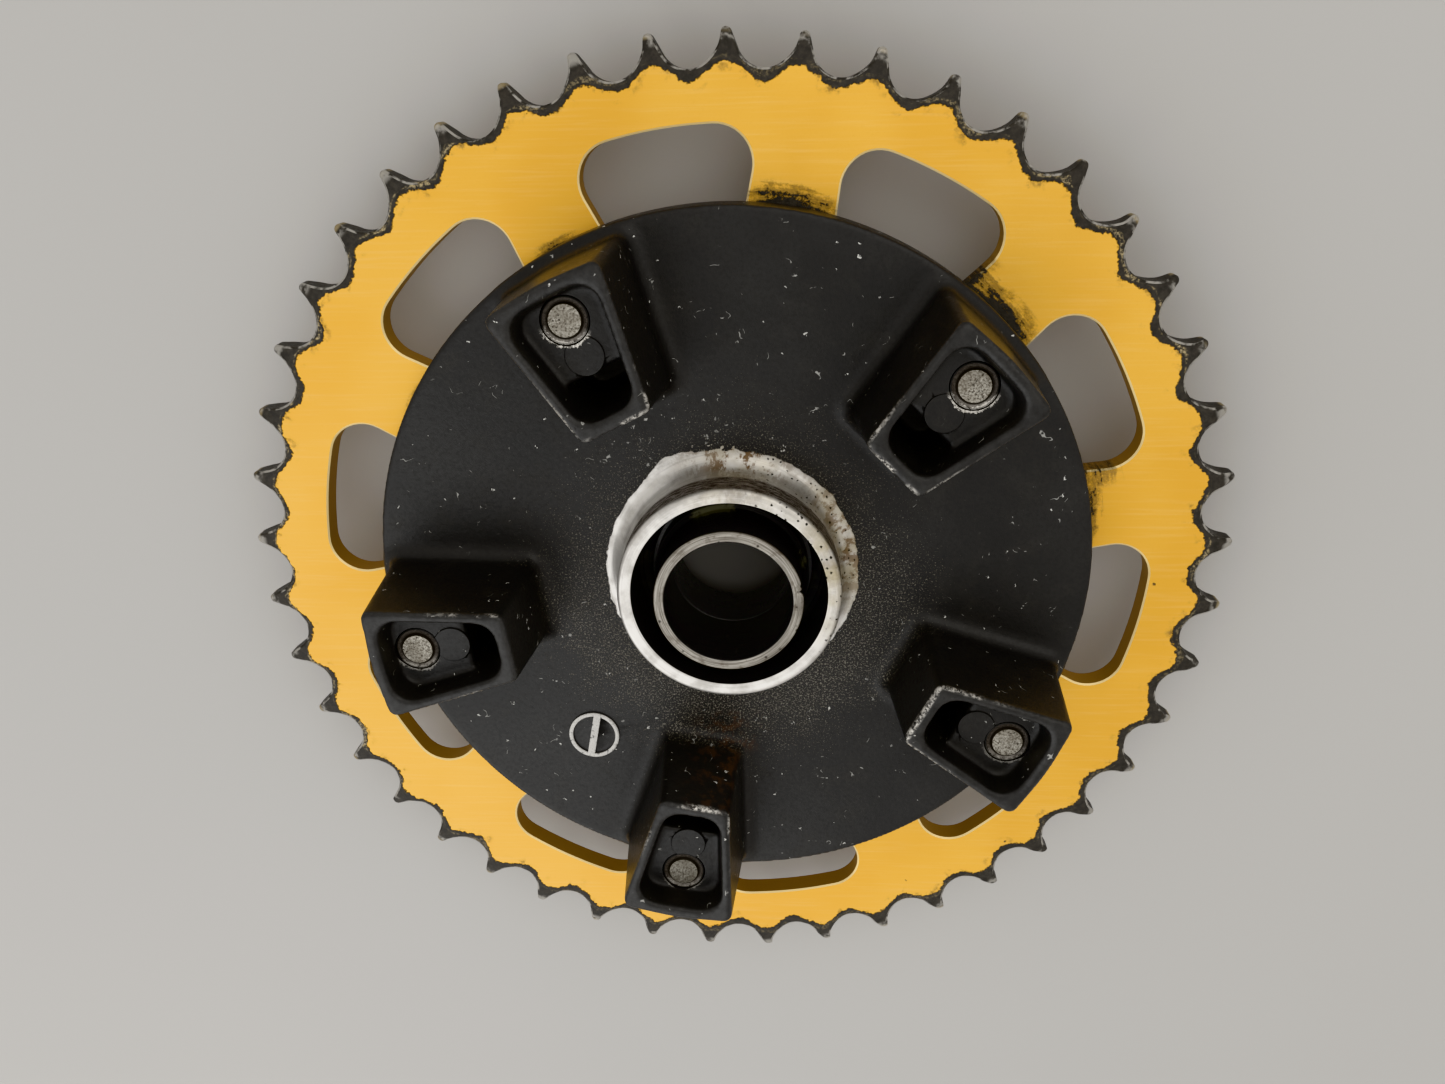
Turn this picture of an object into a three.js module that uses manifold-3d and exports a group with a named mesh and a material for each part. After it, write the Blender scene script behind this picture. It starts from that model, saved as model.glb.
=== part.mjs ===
// Motorcycle rear sprocket on its cush-drive carrier, in millimetres, +Z towards the wheel.
// The origin is on the axle line, on the surface that the chain-side stud ends stand on.
import * as THREE from 'three';
import { mergeVertices } from 'three/addons/utils/BufferGeometryUtils.js';
import Module from 'manifold-3d';

const wasm = await Module();
wasm.setup();

const DEG = Math.PI / 180;

// Heights below are counted from the sprocket's wheel-side face, which the carrier's flange
// seats on. SEAT_HEIGHT lifts everything so that the stud ends stand on z = 0.
const SEAT_HEIGHT = 19.5;
const RADIAL_FIT = 0.05; // radial gap of a pressed piece in its seat

// Sprocket: 5/8 inch pitch chain, 45 teeth, one tooth on +Y.
const TOOTH_COUNT = 45;
const CHAIN_PITCH = 15.875;
const ROLLER_RADIUS = 5.08;
const PITCH_RADIUS = CHAIN_PITCH / (2 * Math.sin(Math.PI / TOOTH_COUNT));
const ROOT_RADIUS = PITCH_RADIUS - ROLLER_RADIUS;
const TIP_RADIUS = 116.6;
const GULLET_RADIUS = 6.05;
const FLANK_LEAN = 17.5 * DEG; // flank angle from the tooth's own centre line
const TIP_ROUND = 1.15;
const GULLET_HALF_STEPS = 3;
const TIP_STEPS = 3;
const SPROCKET_THICKNESS = 5.8;
const TOOTH_BEVEL_START = 113.4; // radius where the tooth sides begin to thin
const TOOTH_BEVEL_SLOPE = 0.42;
const SPROCKET_BORE = 55.3;
const SPROCKET_BORE_SEGMENTS = 60;
const HOLE_SEGMENTS = 12;
const WINDOW_CORNER_STEPS = 4;

// Lightening windows between the ten spokes. Every second spoke carries a stud.
const STUD_ANGLE = 44.5 * DEG;
const WINDOW_COUNT = 10;
const WINDOW_ANGLE = STUD_ANGLE - Math.PI / WINDOW_COUNT;
const WINDOW_OUTER = 98.4;
const WINDOW_INNER = 77.0;
const WINDOW_HALF_WIDTH = 19.4; // where the window's sides stand at WINDOW_WIDTH_AT
const WINDOW_WIDTH_AT = 90.0;
const WINDOW_SIDE_SLOPE = 0.37;
const WINDOW_OUTER_ROUND = 8.0;
const WINDOW_INNER_ROUND = 5.0;
const WINDOW_CROWN = 2.3; // how far the outer edge's arc stands beyond its chord

// Studs and nuts: five M10 on a 140 mm circle.
const STUD_COUNT = 5;
const STUD_CIRCLE = 70.0;
const STUD_RADIUS = 4.95;
const STUD_TOP = 29.0;
const STUD_END_CHAMFER = 1.3;
const STUD_HOLE = 5.1;
const SPROCKET_STUD_HOLE = 5.25;
const NUT_HEIGHT = 11.0;
const NUT_ACROSS_FLATS = 15.0;
const NUT_FLANGE_RADIUS = 10.9;
const NUT_FLANGE_HEIGHT = 1.8;
const NUT_CONE_HEIGHT = 3.4;
const NUT_BORE = 5.05;
const NUT_CHAMFER = 0.8;
const NUT_FLANGE_CHAMFER = 0.4;
const NUT_SEGMENTS = 18;

// Carrier casting.
const CARRIER_SEGMENTS = 52;
const FLANGE_RADIUS = 82.3;
const FLANGE_TOP = 7.9;
const BOSS_BORE = 21.8;
const BOSS_RADIUS = 25.05;
const BOSS_TOP = 22.4;
const BOSS_FILLET = 4.0;
const PILOT_RADIUS = 55.0;
const PILOT_DEPTH = 4.6;
const RECESS_OUTER = 50.5;
const RECESS_INNER = 39.0;
const RECESS_ROOF = 2.5;
const HUB_RADIUS = 36.5;
const HUB_END = -18.0;
const RIB_COUNT = 10;
const RIB_WIDTH = 4.0;
const EDGE_BREAK = 0.6; // small chamfer on the turned edges of the chain side
const FLANGE_EDGE = 0.7;
const BORE_CHAMFER = 0.3;
const BOSS_EDGE_ROUND = 1.0;
const ROUND_MIDDLE = 0.3; // where a quarter round's middle stands, as a part of its radius

// Drive lugs: a hollow drafted block, its radial axis along +X before it is turned into place.
const LUG_TOP = 35.15;
const LUG_INNER = 47.2;
const LUG_OUTER = 79.0; // where the outer edge's arc crosses the lug's middle, at its top
const LUG_INNER_HALF = 7.9;
const LUG_OUTER_HALF = 13.3;
const LUG_CENTRE = 70.0; // the draft spreads the block from here
const LUG_CROWN = 1.1; // bulge of the outer edge
const CROWN_FULLNESS = 0.35; // how much of an outer edge its crown's arc takes up
const LUG_CORNER = 1.8;
const LUG_SPREAD_ALONG = 0.08; // growth of the block's length from its top to its foot
const LUG_SPREAD_ACROSS = 0.17;
const LUG_FOOT_FILLET = 3.0;
const LUG_FOOT_FLARE = 0.09;
const LUG_EDGE_ROUND = 0.7;
const LUG_EDGE_SHRINK = 0.05;
const POCKET_LAND = 2.1; // rim left beside the pocket
const POCKET_END_LAND = 2.7; // rim left at the pocket's inner and outer ends
const POCKET_CORNER = 4.6;
const POCKET_FLOOR = 28.6;
const POCKET_CROWN = 0.4;
const POCKET_SHRINK = 0.09; // how much smaller the pocket is at its floor
const WELL_SHRINK = 0.18;
const WELL_OUTER = 58.2; // the deep well reaches from the pocket's inner end to here
const WELL_FLOOR = 11.5;
const CORE_PIN_RADIUS = 4.1;
const CORE_PIN_AT = 62.0;
const CORE_PIN_RISE = 0.35;

// Raised casting clock on the flange: a ring with a bar across it.
const CLOCK_X = -34.8;
const CLOCK_Y = -44.4;
const CLOCK_TURN = 79 * DEG;
const CLOCK_OUTER = 6.3;
const CLOCK_INNER = 5.2;
const CLOCK_BAR_WIDTH = 1.9;
const CLOCK_HEIGHT = 0.5;
const CLOCK_ROOT = 0.5; // how far the mark is sunk into the flange

// Bearing: 28 x 58 x 16 deep-groove ball bearing.
const BEARING_SEGMENTS = 32;
const BEARING_TOP = 5.0;
const BEARING_WIDTH = 16.0;
const BEARING_MIDDLE = BEARING_TOP - BEARING_WIDTH / 2;
const BEARING_SEAT = 29.0;
const BEARING_BORE = 14.0;
const BALL_COUNT = 9;
const BALL_RADIUS = 4.7;
const BALL_CIRCLE = 21.5;
const BALL_MERIDIANS = 10;
const BALL_PARALLELS = 7;
const GROOVE_RADIUS = 5.0;
const OUTER_LAND = 24.3;
const INNER_LAND = 18.8;
const SEAL_RECESS_RADIUS = 25.5;
const SEAL_RECESS_DEPTH = 1.9;
const RING_CHAMFER = 0.8;
const SEAL_LIP_GAP = 0.25; // between a bearing seal and the inner ring
const SEAL_DISH = 0.4; // how far a seal's face lies inside the bearing's end
const SEAL_LIP_SLOPE = 1.4; // width of the sloping band beside the lip
const SEAL_LIP_DEPTH = 0.9;
const GROOVE_STEPS = 6;
const CAGE_INNER = 20.2;
const CAGE_OUTER = 22.8;
const CAGE_BACK = -6.1;
const CAGE_FRONT = 2.4;
const CAGE_POCKET = 5.15;
const CAGE_SEGMENTS = 27;

// Dust seal and spacer sleeve.
const DUST_SEAT = 30.0;
const DUST_TOP = -11.5;
const DUST_OUT = HUB_END + 0.5; // outer face of the dust seal, just inside the hub's end
const DUST_SHELL = 1.0;
const DUST_FACE_INNER = 24.0;
const SLEEVE_SEGMENTS = 40;
const SLEEVE_BORE = 14.13;
const SLEEVE_RADIUS = 16.53;
const SLEEVE_TOP = 25.55;
const SLEEVE_COLLAR_RADIUS = 17.8;
const SLEEVE_COLLAR_TOP = 10.8;
const SLEEVE_STEP_CHAMFER = 0.5;
const SLEEVE_EDGE_CHAMFER = 0.4;
const SLEEVE_BORE_CHAMFER = 0.3;

// ---- materials ----

function finish(color, roughness, metalness) {
  return new THREE.MeshStandardMaterial({ color, roughness, metalness });
}

const goldAnodised = finish(0xe0a92e, 0.42, 0.75);
const blackPaint = finish(0x1c1d1f, 0.5, 0.15);
const zincSteel = finish(0xa8a8a4, 0.45, 0.9);
const greySteel = finish(0x8b867c, 0.5, 0.9);
const bearingSteel = finish(0xb9babb, 0.25, 1.0);
const cageBrown = finish(0x6e5b43, 0.6, 0.2);
const blackRubber = finish(0x161616, 0.8, 0.0);

// ---- helpers ----

// Signed volume of an indexed geometry: negative when its faces point inwards.
function signedVolume(position, index) {
  const a = new THREE.Vector3();
  const b = new THREE.Vector3();
  const c = new THREE.Vector3();
  let sum = 0;
  for (let i = 0; i < index.length; i += 3) {
    a.fromArray(position, index[i] * 3);
    b.fromArray(position, index[i + 1] * 3);
    c.fromArray(position, index[i + 2] * 3);
    sum += a.dot(b.cross(c)) / 6;
  }
  return sum;
}

// A closed three.js geometry as a manifold solid, with its faces turned outwards.
function solid(geometry) {
  const bare = geometry.clone();
  bare.deleteAttribute('normal');
  bare.deleteAttribute('uv');
  const merged = mergeVertices(bare, 1e-4);
  const position = merged.attributes.position.array;
  const source = merged.index.array;
  const kept = [];
  for (let i = 0; i < source.length; i += 3) {
    const [a, b, c] = [source[i], source[i + 1], source[i + 2]];
    if (a !== b && b !== c && c !== a) kept.push(a, b, c);
  }
  if (signedVolume(position, kept) < 0) kept.reverse();
  const triVerts = new Uint32Array(kept);
  const vertProperties = new Float32Array(position);
  return new wasm.Manifold(new wasm.Mesh({ numProp: 3, vertProperties, triVerts }));
}

// A manifold solid back as a three.js geometry.
function geometryOf(manifold) {
  const mesh = manifold.getMesh();
  const geometry = new THREE.BufferGeometry();
  const position = new Float32Array(mesh.vertProperties);
  const index = new Uint32Array(mesh.triVerts);
  geometry.setAttribute('position', new THREE.BufferAttribute(position, 3));
  geometry.setIndex(new THREE.BufferAttribute(index, 1));
  geometry.computeVertexNormals();
  return geometry;
}

// A named piece made from a manifold solid.
function piece(name, manifold, material) {
  const mesh = new THREE.Mesh(geometryOf(manifold), material);
  mesh.name = name;
  return mesh;
}

// Revolve a closed list of [radius, height] corners about Z. Rings repeat their first corner.
function revolve(corners, segments, startAngle = 0) {
  const points = corners.map(([r, z]) => new THREE.Vector2(r, z));
  const geometry = new THREE.LatheGeometry(points, segments);
  geometry.rotateX(Math.PI / 2);
  geometry.rotateZ(startAngle);
  return solid(geometry);
}

function ring(corners, segments, startAngle = 0) {
  return revolve([...corners, corners[0]], segments, startAngle);
}

// A round bar along Z between two heights.
function bar(radius, low, high, segments, x = 0, y = 0) {
  const geometry = new THREE.CylinderGeometry(radius, radius, high - low, segments);
  geometry.rotateX(Math.PI / 2);
  geometry.translate(x, y, (low + high) / 2);
  return solid(geometry);
}

// A box from its size and centre.
function block(size, centre) {
  const geometry = new THREE.BoxGeometry(...size);
  geometry.translate(...centre);
  return solid(geometry);
}

// Points on an arc about (x, y), both ends included.
function arcPoints(x, y, radius, from, to, steps) {
  const points = [];
  for (let i = 0; i <= steps; i += 1) {
    const angle = from + ((to - from) * i) / steps;
    points.push(new THREE.Vector2(x + radius * Math.cos(angle), y + radius * Math.sin(angle)));
  }
  return points;
}

// A round hole in a flat shape.
function circlePath(x, y, radius, segments) {
  return new THREE.Path(arcPoints(x, y, radius, 0, 2 * Math.PI, segments).slice(0, -1));
}

// Round the corners of a convex outline. Each corner is { x, y, round }.
function roundedOutline(corners, steps) {
  const points = [];
  corners.forEach((corner, i) => {
    const here = new THREE.Vector2(corner.x, corner.y);
    const before = corners[(i + corners.length - 1) % corners.length];
    const after = corners[(i + 1) % corners.length];
    const toBefore = new THREE.Vector2(before.x, before.y).sub(here).normalize();
    const toAfter = new THREE.Vector2(after.x, after.y).sub(here).normalize();
    const half = Math.acos(toBefore.dot(toAfter)) / 2;
    const bisector = toBefore.clone().add(toAfter).normalize();
    const centre = here.clone().add(bisector.multiplyScalar(corner.round / Math.sin(half)));
    const reach = corner.round / Math.tan(half);
    const start = here.clone().add(toBefore.multiplyScalar(reach)).sub(centre);
    const end = here.clone().add(toAfter.multiplyScalar(reach)).sub(centre);
    let sweep = end.angle() - start.angle();
    if (sweep < -Math.PI) sweep += 2 * Math.PI;
    if (sweep > Math.PI) sweep -= 2 * Math.PI;
    const from = start.angle();
    points.push(...arcPoints(centre.x, centre.y, corner.round, from, from + sweep, steps));
  });
  return points;
}

// Sweep an outline up through levels of { z, along, across }. At each level the outline is
// scaled along X from the given centre, and across it from its own middle.
function drafted(outline, centre, levels) {
  const geometry = new THREE.ExtrudeGeometry(new THREE.Shape(outline), {
    depth: levels.length - 1,
    steps: levels.length - 1,
    bevelEnabled: false,
  });
  const position = geometry.attributes.position;
  for (let i = 0; i < position.count; i += 1) {
    const level = levels[Math.round(position.getZ(i))];
    const x = centre + (position.getX(i) - centre) * level.along;
    position.setXYZ(i, x, position.getY(i) * level.across, level.z);
  }
  return solid(geometry);
}

// Put copies of a solid at equal turns about Z and join them.
function around(manifold, count, startAngle) {
  const copies = [];
  for (let i = 0; i < count; i += 1) {
    copies.push(manifold.rotate([0, 0, (startAngle / DEG) + (360 / count) * i]));
  }
  return copies.reduce((all, copy) => all.add(copy));
}

// ---- sprocket ----

// One tooth pitch of the rim, from the middle of one gullet to the middle of the next.
function toothPoints(middle) {
  const gulletCentre = ROOT_RADIUS + GULLET_RADIUS;
  const halfPitch = Math.PI / TOOTH_COUNT;
  const sweep = Math.PI / 2 - FLANK_LEAN - halfPitch;
  const before = middle - halfPitch;
  const after = middle + halfPitch;
  const left = arcPoints(
    gulletCentre * Math.cos(before), gulletCentre * Math.sin(before), GULLET_RADIUS,
    before + Math.PI, before + Math.PI - sweep, GULLET_HALF_STEPS,
  );
  const tipCentre = TIP_RADIUS - TIP_ROUND;
  const tip = arcPoints(
    tipCentre * Math.cos(middle), tipCentre * Math.sin(middle), TIP_ROUND,
    middle - Math.PI / 2 + FLANK_LEAN, middle + Math.PI / 2 - FLANK_LEAN, TIP_STEPS,
  );
  const right = arcPoints(
    gulletCentre * Math.cos(after), gulletCentre * Math.sin(after), GULLET_RADIUS,
    after + Math.PI + sweep, after + Math.PI, GULLET_HALF_STEPS,
  );
  return [...left, ...tip, ...right.slice(0, -1)];
}

function windowPoints(angle) {
  const sideAt = (u) => WINDOW_HALF_WIDTH + (u - WINDOW_WIDTH_AT) * WINDOW_SIDE_SLOPE;
  const outerEnd = WINDOW_OUTER - WINDOW_CROWN;
  const corners = [
    { x: WINDOW_INNER, y: -sideAt(WINDOW_INNER), round: WINDOW_INNER_ROUND },
    { x: outerEnd, y: -sideAt(outerEnd), round: WINDOW_OUTER_ROUND },
    { x: WINDOW_OUTER, y: 0, round: WINDOW_OUTER },
    { x: outerEnd, y: sideAt(outerEnd), round: WINDOW_OUTER_ROUND },
    { x: WINDOW_INNER, y: sideAt(WINDOW_INNER), round: WINDOW_INNER_ROUND },
  ];
  const outline = roundedOutline(corners, WINDOW_CORNER_STEPS);
  return outline.map((p) => p.rotateAround(new THREE.Vector2(), angle));
}

function sprocketRing() {
  const rim = [];
  for (let i = 0; i < TOOTH_COUNT; i += 1) {
    rim.push(...toothPoints(Math.PI / 2 + (i * 2 * Math.PI) / TOOTH_COUNT));
  }
  const shape = new THREE.Shape(rim);
  for (let i = 0; i < WINDOW_COUNT; i += 1) {
    const angle = WINDOW_ANGLE + (i * 2 * Math.PI) / WINDOW_COUNT;
    shape.holes.push(new THREE.Path(windowPoints(angle)));
  }
  for (let i = 0; i < STUD_COUNT; i += 1) {
    const angle = STUD_ANGLE + (i * 2 * Math.PI) / STUD_COUNT;
    const x = STUD_CIRCLE * Math.cos(angle);
    const y = STUD_CIRCLE * Math.sin(angle);
    shape.holes.push(circlePath(x, y, SPROCKET_STUD_HOLE, HOLE_SEGMENTS));
  }
  shape.holes.push(circlePath(0, 0, SPROCKET_BORE, SPROCKET_BORE_SEGMENTS));
  const plate = new THREE.ExtrudeGeometry(shape, { depth: SPROCKET_THICKNESS, bevelEnabled: false });
  plate.translate(0, 0, -SPROCKET_THICKNESS);
  return solid(plate).intersect(toothBevel());
}

// A lens-shaped envelope whose flat facets thin each tooth towards its tip.
function toothBevel() {
  const inside = SPROCKET_BORE - 5;
  const outside = TIP_RADIUS + 2;
  const clear = 1.0;
  const flatEnd = TOOTH_BEVEL_START - clear / TOOTH_BEVEL_SLOPE;
  const cut = (outside - TOOTH_BEVEL_START) * TOOTH_BEVEL_SLOPE;
  const corners = [
    [inside, -SPROCKET_THICKNESS - clear],
    [flatEnd, -SPROCKET_THICKNESS - clear],
    [outside, -SPROCKET_THICKNESS + cut],
    [outside, -cut],
    [flatEnd, clear],
    [inside, clear],
  ];
  return ring(corners, TOOTH_COUNT, Math.PI / 2 + Math.PI / TOOTH_COUNT);
}

// ---- carrier ----

function carrierCore() {
  const roundMiddle = BOSS_EDGE_ROUND * ROUND_MIDDLE;
  const filletMiddle = BOSS_FILLET * ROUND_MIDDLE;
  return ring([
    [DUST_SEAT, HUB_END + EDGE_BREAK],
    [DUST_SEAT, DUST_TOP],
    [BEARING_SEAT, DUST_TOP],
    [BEARING_SEAT, BEARING_TOP],
    [BOSS_BORE, BEARING_TOP],
    [BOSS_BORE, BOSS_TOP - BORE_CHAMFER],
    [BOSS_BORE + BORE_CHAMFER, BOSS_TOP],
    [BOSS_RADIUS - BOSS_EDGE_ROUND, BOSS_TOP],
    [BOSS_RADIUS - roundMiddle, BOSS_TOP - roundMiddle],
    [BOSS_RADIUS, BOSS_TOP - BOSS_EDGE_ROUND],
    [BOSS_RADIUS, FLANGE_TOP + BOSS_FILLET],
    [BOSS_RADIUS + filletMiddle, FLANGE_TOP + filletMiddle],
    [BOSS_RADIUS + BOSS_FILLET, FLANGE_TOP],
    [FLANGE_RADIUS - FLANGE_EDGE, FLANGE_TOP],
    [FLANGE_RADIUS, FLANGE_TOP - FLANGE_EDGE],
    [FLANGE_RADIUS, EDGE_BREAK],
    [FLANGE_RADIUS - EDGE_BREAK, 0],
    [PILOT_RADIUS, 0],
    [PILOT_RADIUS, -PILOT_DEPTH + EDGE_BREAK],
    [PILOT_RADIUS - EDGE_BREAK, -PILOT_DEPTH],
    [RECESS_OUTER + EDGE_BREAK, -PILOT_DEPTH],
    [RECESS_OUTER, RECESS_ROOF],
    [RECESS_INNER, RECESS_ROOF],
    [HUB_RADIUS, HUB_END + EDGE_BREAK],
    [HUB_RADIUS - EDGE_BREAK, HUB_END],
    [DUST_SEAT + EDGE_BREAK, HUB_END],
  ], CARRIER_SEGMENTS);
}

// The ribs that cross the ring-shaped recess on the chain side.
function carrierRibs() {
  const rootedIn = 1.5; // how far a rib's ends reach into the walls beside it
  const length = RECESS_OUTER - RECESS_INNER + 2 * rootedIn;
  const low = EDGE_BREAK - PILOT_DEPTH;
  const high = RECESS_ROOF + rootedIn;
  const middle = (RECESS_OUTER + RECESS_INNER) / 2;
  const rib = block([length, RIB_WIDTH, high - low], [middle, 0, (low + high) / 2]);
  return around(rib, RIB_COUNT, STUD_ANGLE);
}

// Outline of a lug's top, its side walls moved in by side and its end walls by end. The outer
// edge bulges by crown.
function lugOutline(side, end, corner, crown, steps) {
  const slope = (LUG_OUTER_HALF - LUG_INNER_HALF) / (LUG_OUTER - LUG_INNER);
  const widthAt = (u) => LUG_INNER_HALF + (u - LUG_INNER) * slope - side;
  const inner = LUG_INNER + end;
  const edge = LUG_OUTER - end;
  const shoulder = edge - crown;
  const crownRound = (CROWN_FULLNESS * widthAt(shoulder) ** 2) / crown;
  return roundedOutline([
    { x: inner, y: -widthAt(inner), round: corner },
    { x: shoulder, y: -widthAt(shoulder), round: corner },
    { x: edge, y: 0, round: crownRound },
    { x: shoulder, y: widthAt(shoulder), round: corner },
    { x: inner, y: widthAt(inner), round: corner },
  ], steps);
}

function lugBlock() {
  const level = (z, flare) => {
    const depth = (LUG_TOP - z) / (LUG_TOP - FLANGE_TOP);
    const along = 1 + LUG_SPREAD_ALONG * depth + flare;
    const across = 1 + LUG_SPREAD_ACROSS * depth + flare;
    return { z, along, across };
  };
  return drafted(lugOutline(0, 0, LUG_CORNER, LUG_CROWN, 3), LUG_CENTRE, [
    level(FLANGE_TOP - 1, LUG_FOOT_FLARE),
    level(FLANGE_TOP, LUG_FOOT_FLARE),
    level(FLANGE_TOP + LUG_FOOT_FILLET * ROUND_MIDDLE, LUG_FOOT_FLARE * ROUND_MIDDLE),
    level(FLANGE_TOP + LUG_FOOT_FILLET, 0),
    level(LUG_TOP - LUG_EDGE_ROUND, 0),
    level(LUG_TOP, -LUG_EDGE_SHRINK),
  ]);
}

// The hollow in a lug: a shallow pocket over the stud, and a deep well towards the boss. The
// core pin's column stands between them and just shows above the pocket's floor.
function lugHollow() {
  const mouth = lugOutline(POCKET_LAND, POCKET_END_LAND, POCKET_CORNER, POCKET_CROWN, 4);
  const hollow = drafted(mouth, (LUG_INNER + LUG_OUTER) / 2, [
    { z: WELL_FLOOR, along: 1 - WELL_SHRINK, across: 1 - WELL_SHRINK },
    { z: POCKET_FLOOR, along: 1 - POCKET_SHRINK, across: 1 - POCKET_SHRINK },
    { z: LUG_TOP + 1, along: 1, across: 1 },
  ]);
  const stepLength = LUG_OUTER - WELL_OUTER;
  const stepHeight = POCKET_FLOOR - WELL_FLOOR + 2;
  const step = block(
    [stepLength, LUG_OUTER_HALF * 2, stepHeight],
    [WELL_OUTER + stepLength / 2, 0, POCKET_FLOOR - stepHeight / 2],
  );
  const pin = bar(CORE_PIN_RADIUS, WELL_FLOOR - 1, POCKET_FLOOR + CORE_PIN_RISE, 16, CORE_PIN_AT, 0);
  return hollow.subtract(step).subtract(pin);
}

function castingClock() {
  const low = FLANGE_TOP - CLOCK_ROOT;
  const high = FLANGE_TOP + CLOCK_HEIGHT;
  const rim = ring([
    [CLOCK_INNER, low],
    [CLOCK_OUTER, low],
    [CLOCK_OUTER, high],
    [CLOCK_INNER, high],
  ], 24);
  const length = CLOCK_OUTER + CLOCK_INNER;
  const hand = block([length, CLOCK_BAR_WIDTH, high - low], [0, 0, (low + high) / 2]);
  return rim.add(hand).rotate([0, 0, CLOCK_TURN / DEG]).translate([CLOCK_X, CLOCK_Y, 0]);
}

function carrier() {
  const lugs = around(lugBlock(), STUD_COUNT, STUD_ANGLE);
  const hollows = around(lugHollow(), STUD_COUNT, STUD_ANGLE);
  const holes = around(bar(STUD_HOLE, -1, LUG_TOP, HOLE_SEGMENTS, STUD_CIRCLE, 0), STUD_COUNT, STUD_ANGLE);
  return carrierCore()
    .add(carrierRibs())
    .add(lugs)
    .subtract(hollows)
    .subtract(holes)
    .add(castingClock());
}

// ---- studs and nuts ----

function stud() {
  const tip = STUD_RADIUS - STUD_END_CHAMFER;
  return revolve([
    [0, -SEAT_HEIGHT],
    [tip, -SEAT_HEIGHT],
    [STUD_RADIUS, -SEAT_HEIGHT + STUD_END_CHAMFER],
    [STUD_RADIUS, STUD_TOP - STUD_END_CHAMFER],
    [tip, STUD_TOP],
    [0, STUD_TOP],
  ], HOLE_SEGMENTS);
}

function flangeNut() {
  const top = -SPROCKET_THICKNESS;
  const end = top - NUT_HEIGHT;
  const flat = NUT_ACROSS_FLATS / 2;
  const corner = NUT_ACROSS_FLATS / Math.sqrt(3);
  const hexagon = bar(corner, end, top - NUT_FLANGE_CHAMFER, 6);
  const envelope = revolve([
    [0, end],
    [flat, end],
    [corner + 0.1, end + NUT_CHAMFER],
    [corner + 0.1, top],
    [0, top],
  ], NUT_SEGMENTS);
  const flange = revolve([
    [0, top],
    [NUT_FLANGE_RADIUS - NUT_FLANGE_CHAMFER, top],
    [NUT_FLANGE_RADIUS, top - NUT_FLANGE_CHAMFER],
    [NUT_FLANGE_RADIUS, top - NUT_FLANGE_HEIGHT],
    [flat - NUT_FLANGE_CHAMFER, top - NUT_CONE_HEIGHT],
    [0, top - NUT_CONE_HEIGHT],
  ], NUT_SEGMENTS);
  const bore = bar(NUT_BORE, end - 1, top + 1, HOLE_SEGMENTS);
  return hexagon.intersect(envelope).add(flange).subtract(bore);
}

// ---- bearing ----

// The arc of a raceway groove between the two edges where it meets the ring's land.
function groovePoints(land) {
  const rise = land - BALL_CIRCLE;
  const edge = Math.acos(Math.abs(rise) / GROOVE_RADIUS);
  const facing = rise > 0 ? 0 : Math.PI;
  const from = facing - edge;
  const to = facing + edge;
  const arc = arcPoints(BALL_CIRCLE, BEARING_MIDDLE, GROOVE_RADIUS, from, to, GROOVE_STEPS);
  return arc.map((p) => [p.x, p.y]);
}

function bearingOuterRing() {
  const low = BEARING_TOP - BEARING_WIDTH;
  const outer = BEARING_SEAT - RADIAL_FIT;
  return ring([
    [outer - RING_CHAMFER, low],
    [outer, low + RING_CHAMFER],
    [outer, BEARING_TOP - RING_CHAMFER],
    [outer - RING_CHAMFER, BEARING_TOP],
    [SEAL_RECESS_RADIUS, BEARING_TOP],
    [SEAL_RECESS_RADIUS, BEARING_TOP - SEAL_RECESS_DEPTH],
    [OUTER_LAND, BEARING_TOP - SEAL_RECESS_DEPTH],
    ...groovePoints(OUTER_LAND).reverse(),
    [OUTER_LAND, low + SEAL_RECESS_DEPTH],
    [SEAL_RECESS_RADIUS, low + SEAL_RECESS_DEPTH],
    [SEAL_RECESS_RADIUS, low],
  ], BEARING_SEGMENTS);
}

function bearingInnerRing() {
  const low = BEARING_TOP - BEARING_WIDTH;
  return ring([
    [BEARING_BORE + RING_CHAMFER / 2, low],
    [INNER_LAND, low],
    ...groovePoints(INNER_LAND).reverse(),
    [INNER_LAND, BEARING_TOP],
    [BEARING_BORE + RING_CHAMFER / 2, BEARING_TOP],
    [BEARING_BORE, BEARING_TOP - RING_CHAMFER / 2],
    [BEARING_BORE, low + RING_CHAMFER / 2],
  ], BEARING_SEGMENTS);
}

function ball(radius) {
  const geometry = new THREE.SphereGeometry(radius, BALL_MERIDIANS, BALL_PARALLELS);
  geometry.rotateX(Math.PI / 2);
  return solid(geometry);
}

function bearingCage() {
  const rim = ring([
    [CAGE_INNER, BEARING_MIDDLE + CAGE_BACK],
    [CAGE_OUTER, BEARING_MIDDLE + CAGE_BACK],
    [CAGE_OUTER, BEARING_MIDDLE + CAGE_FRONT],
    [CAGE_INNER, BEARING_MIDDLE + CAGE_FRONT],
  ], CAGE_SEGMENTS);
  const pocket = ball(CAGE_POCKET).translate([BALL_CIRCLE, 0, BEARING_MIDDLE]);
  return rim.subtract(around(pocket, BALL_COUNT, 0));
}

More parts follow.
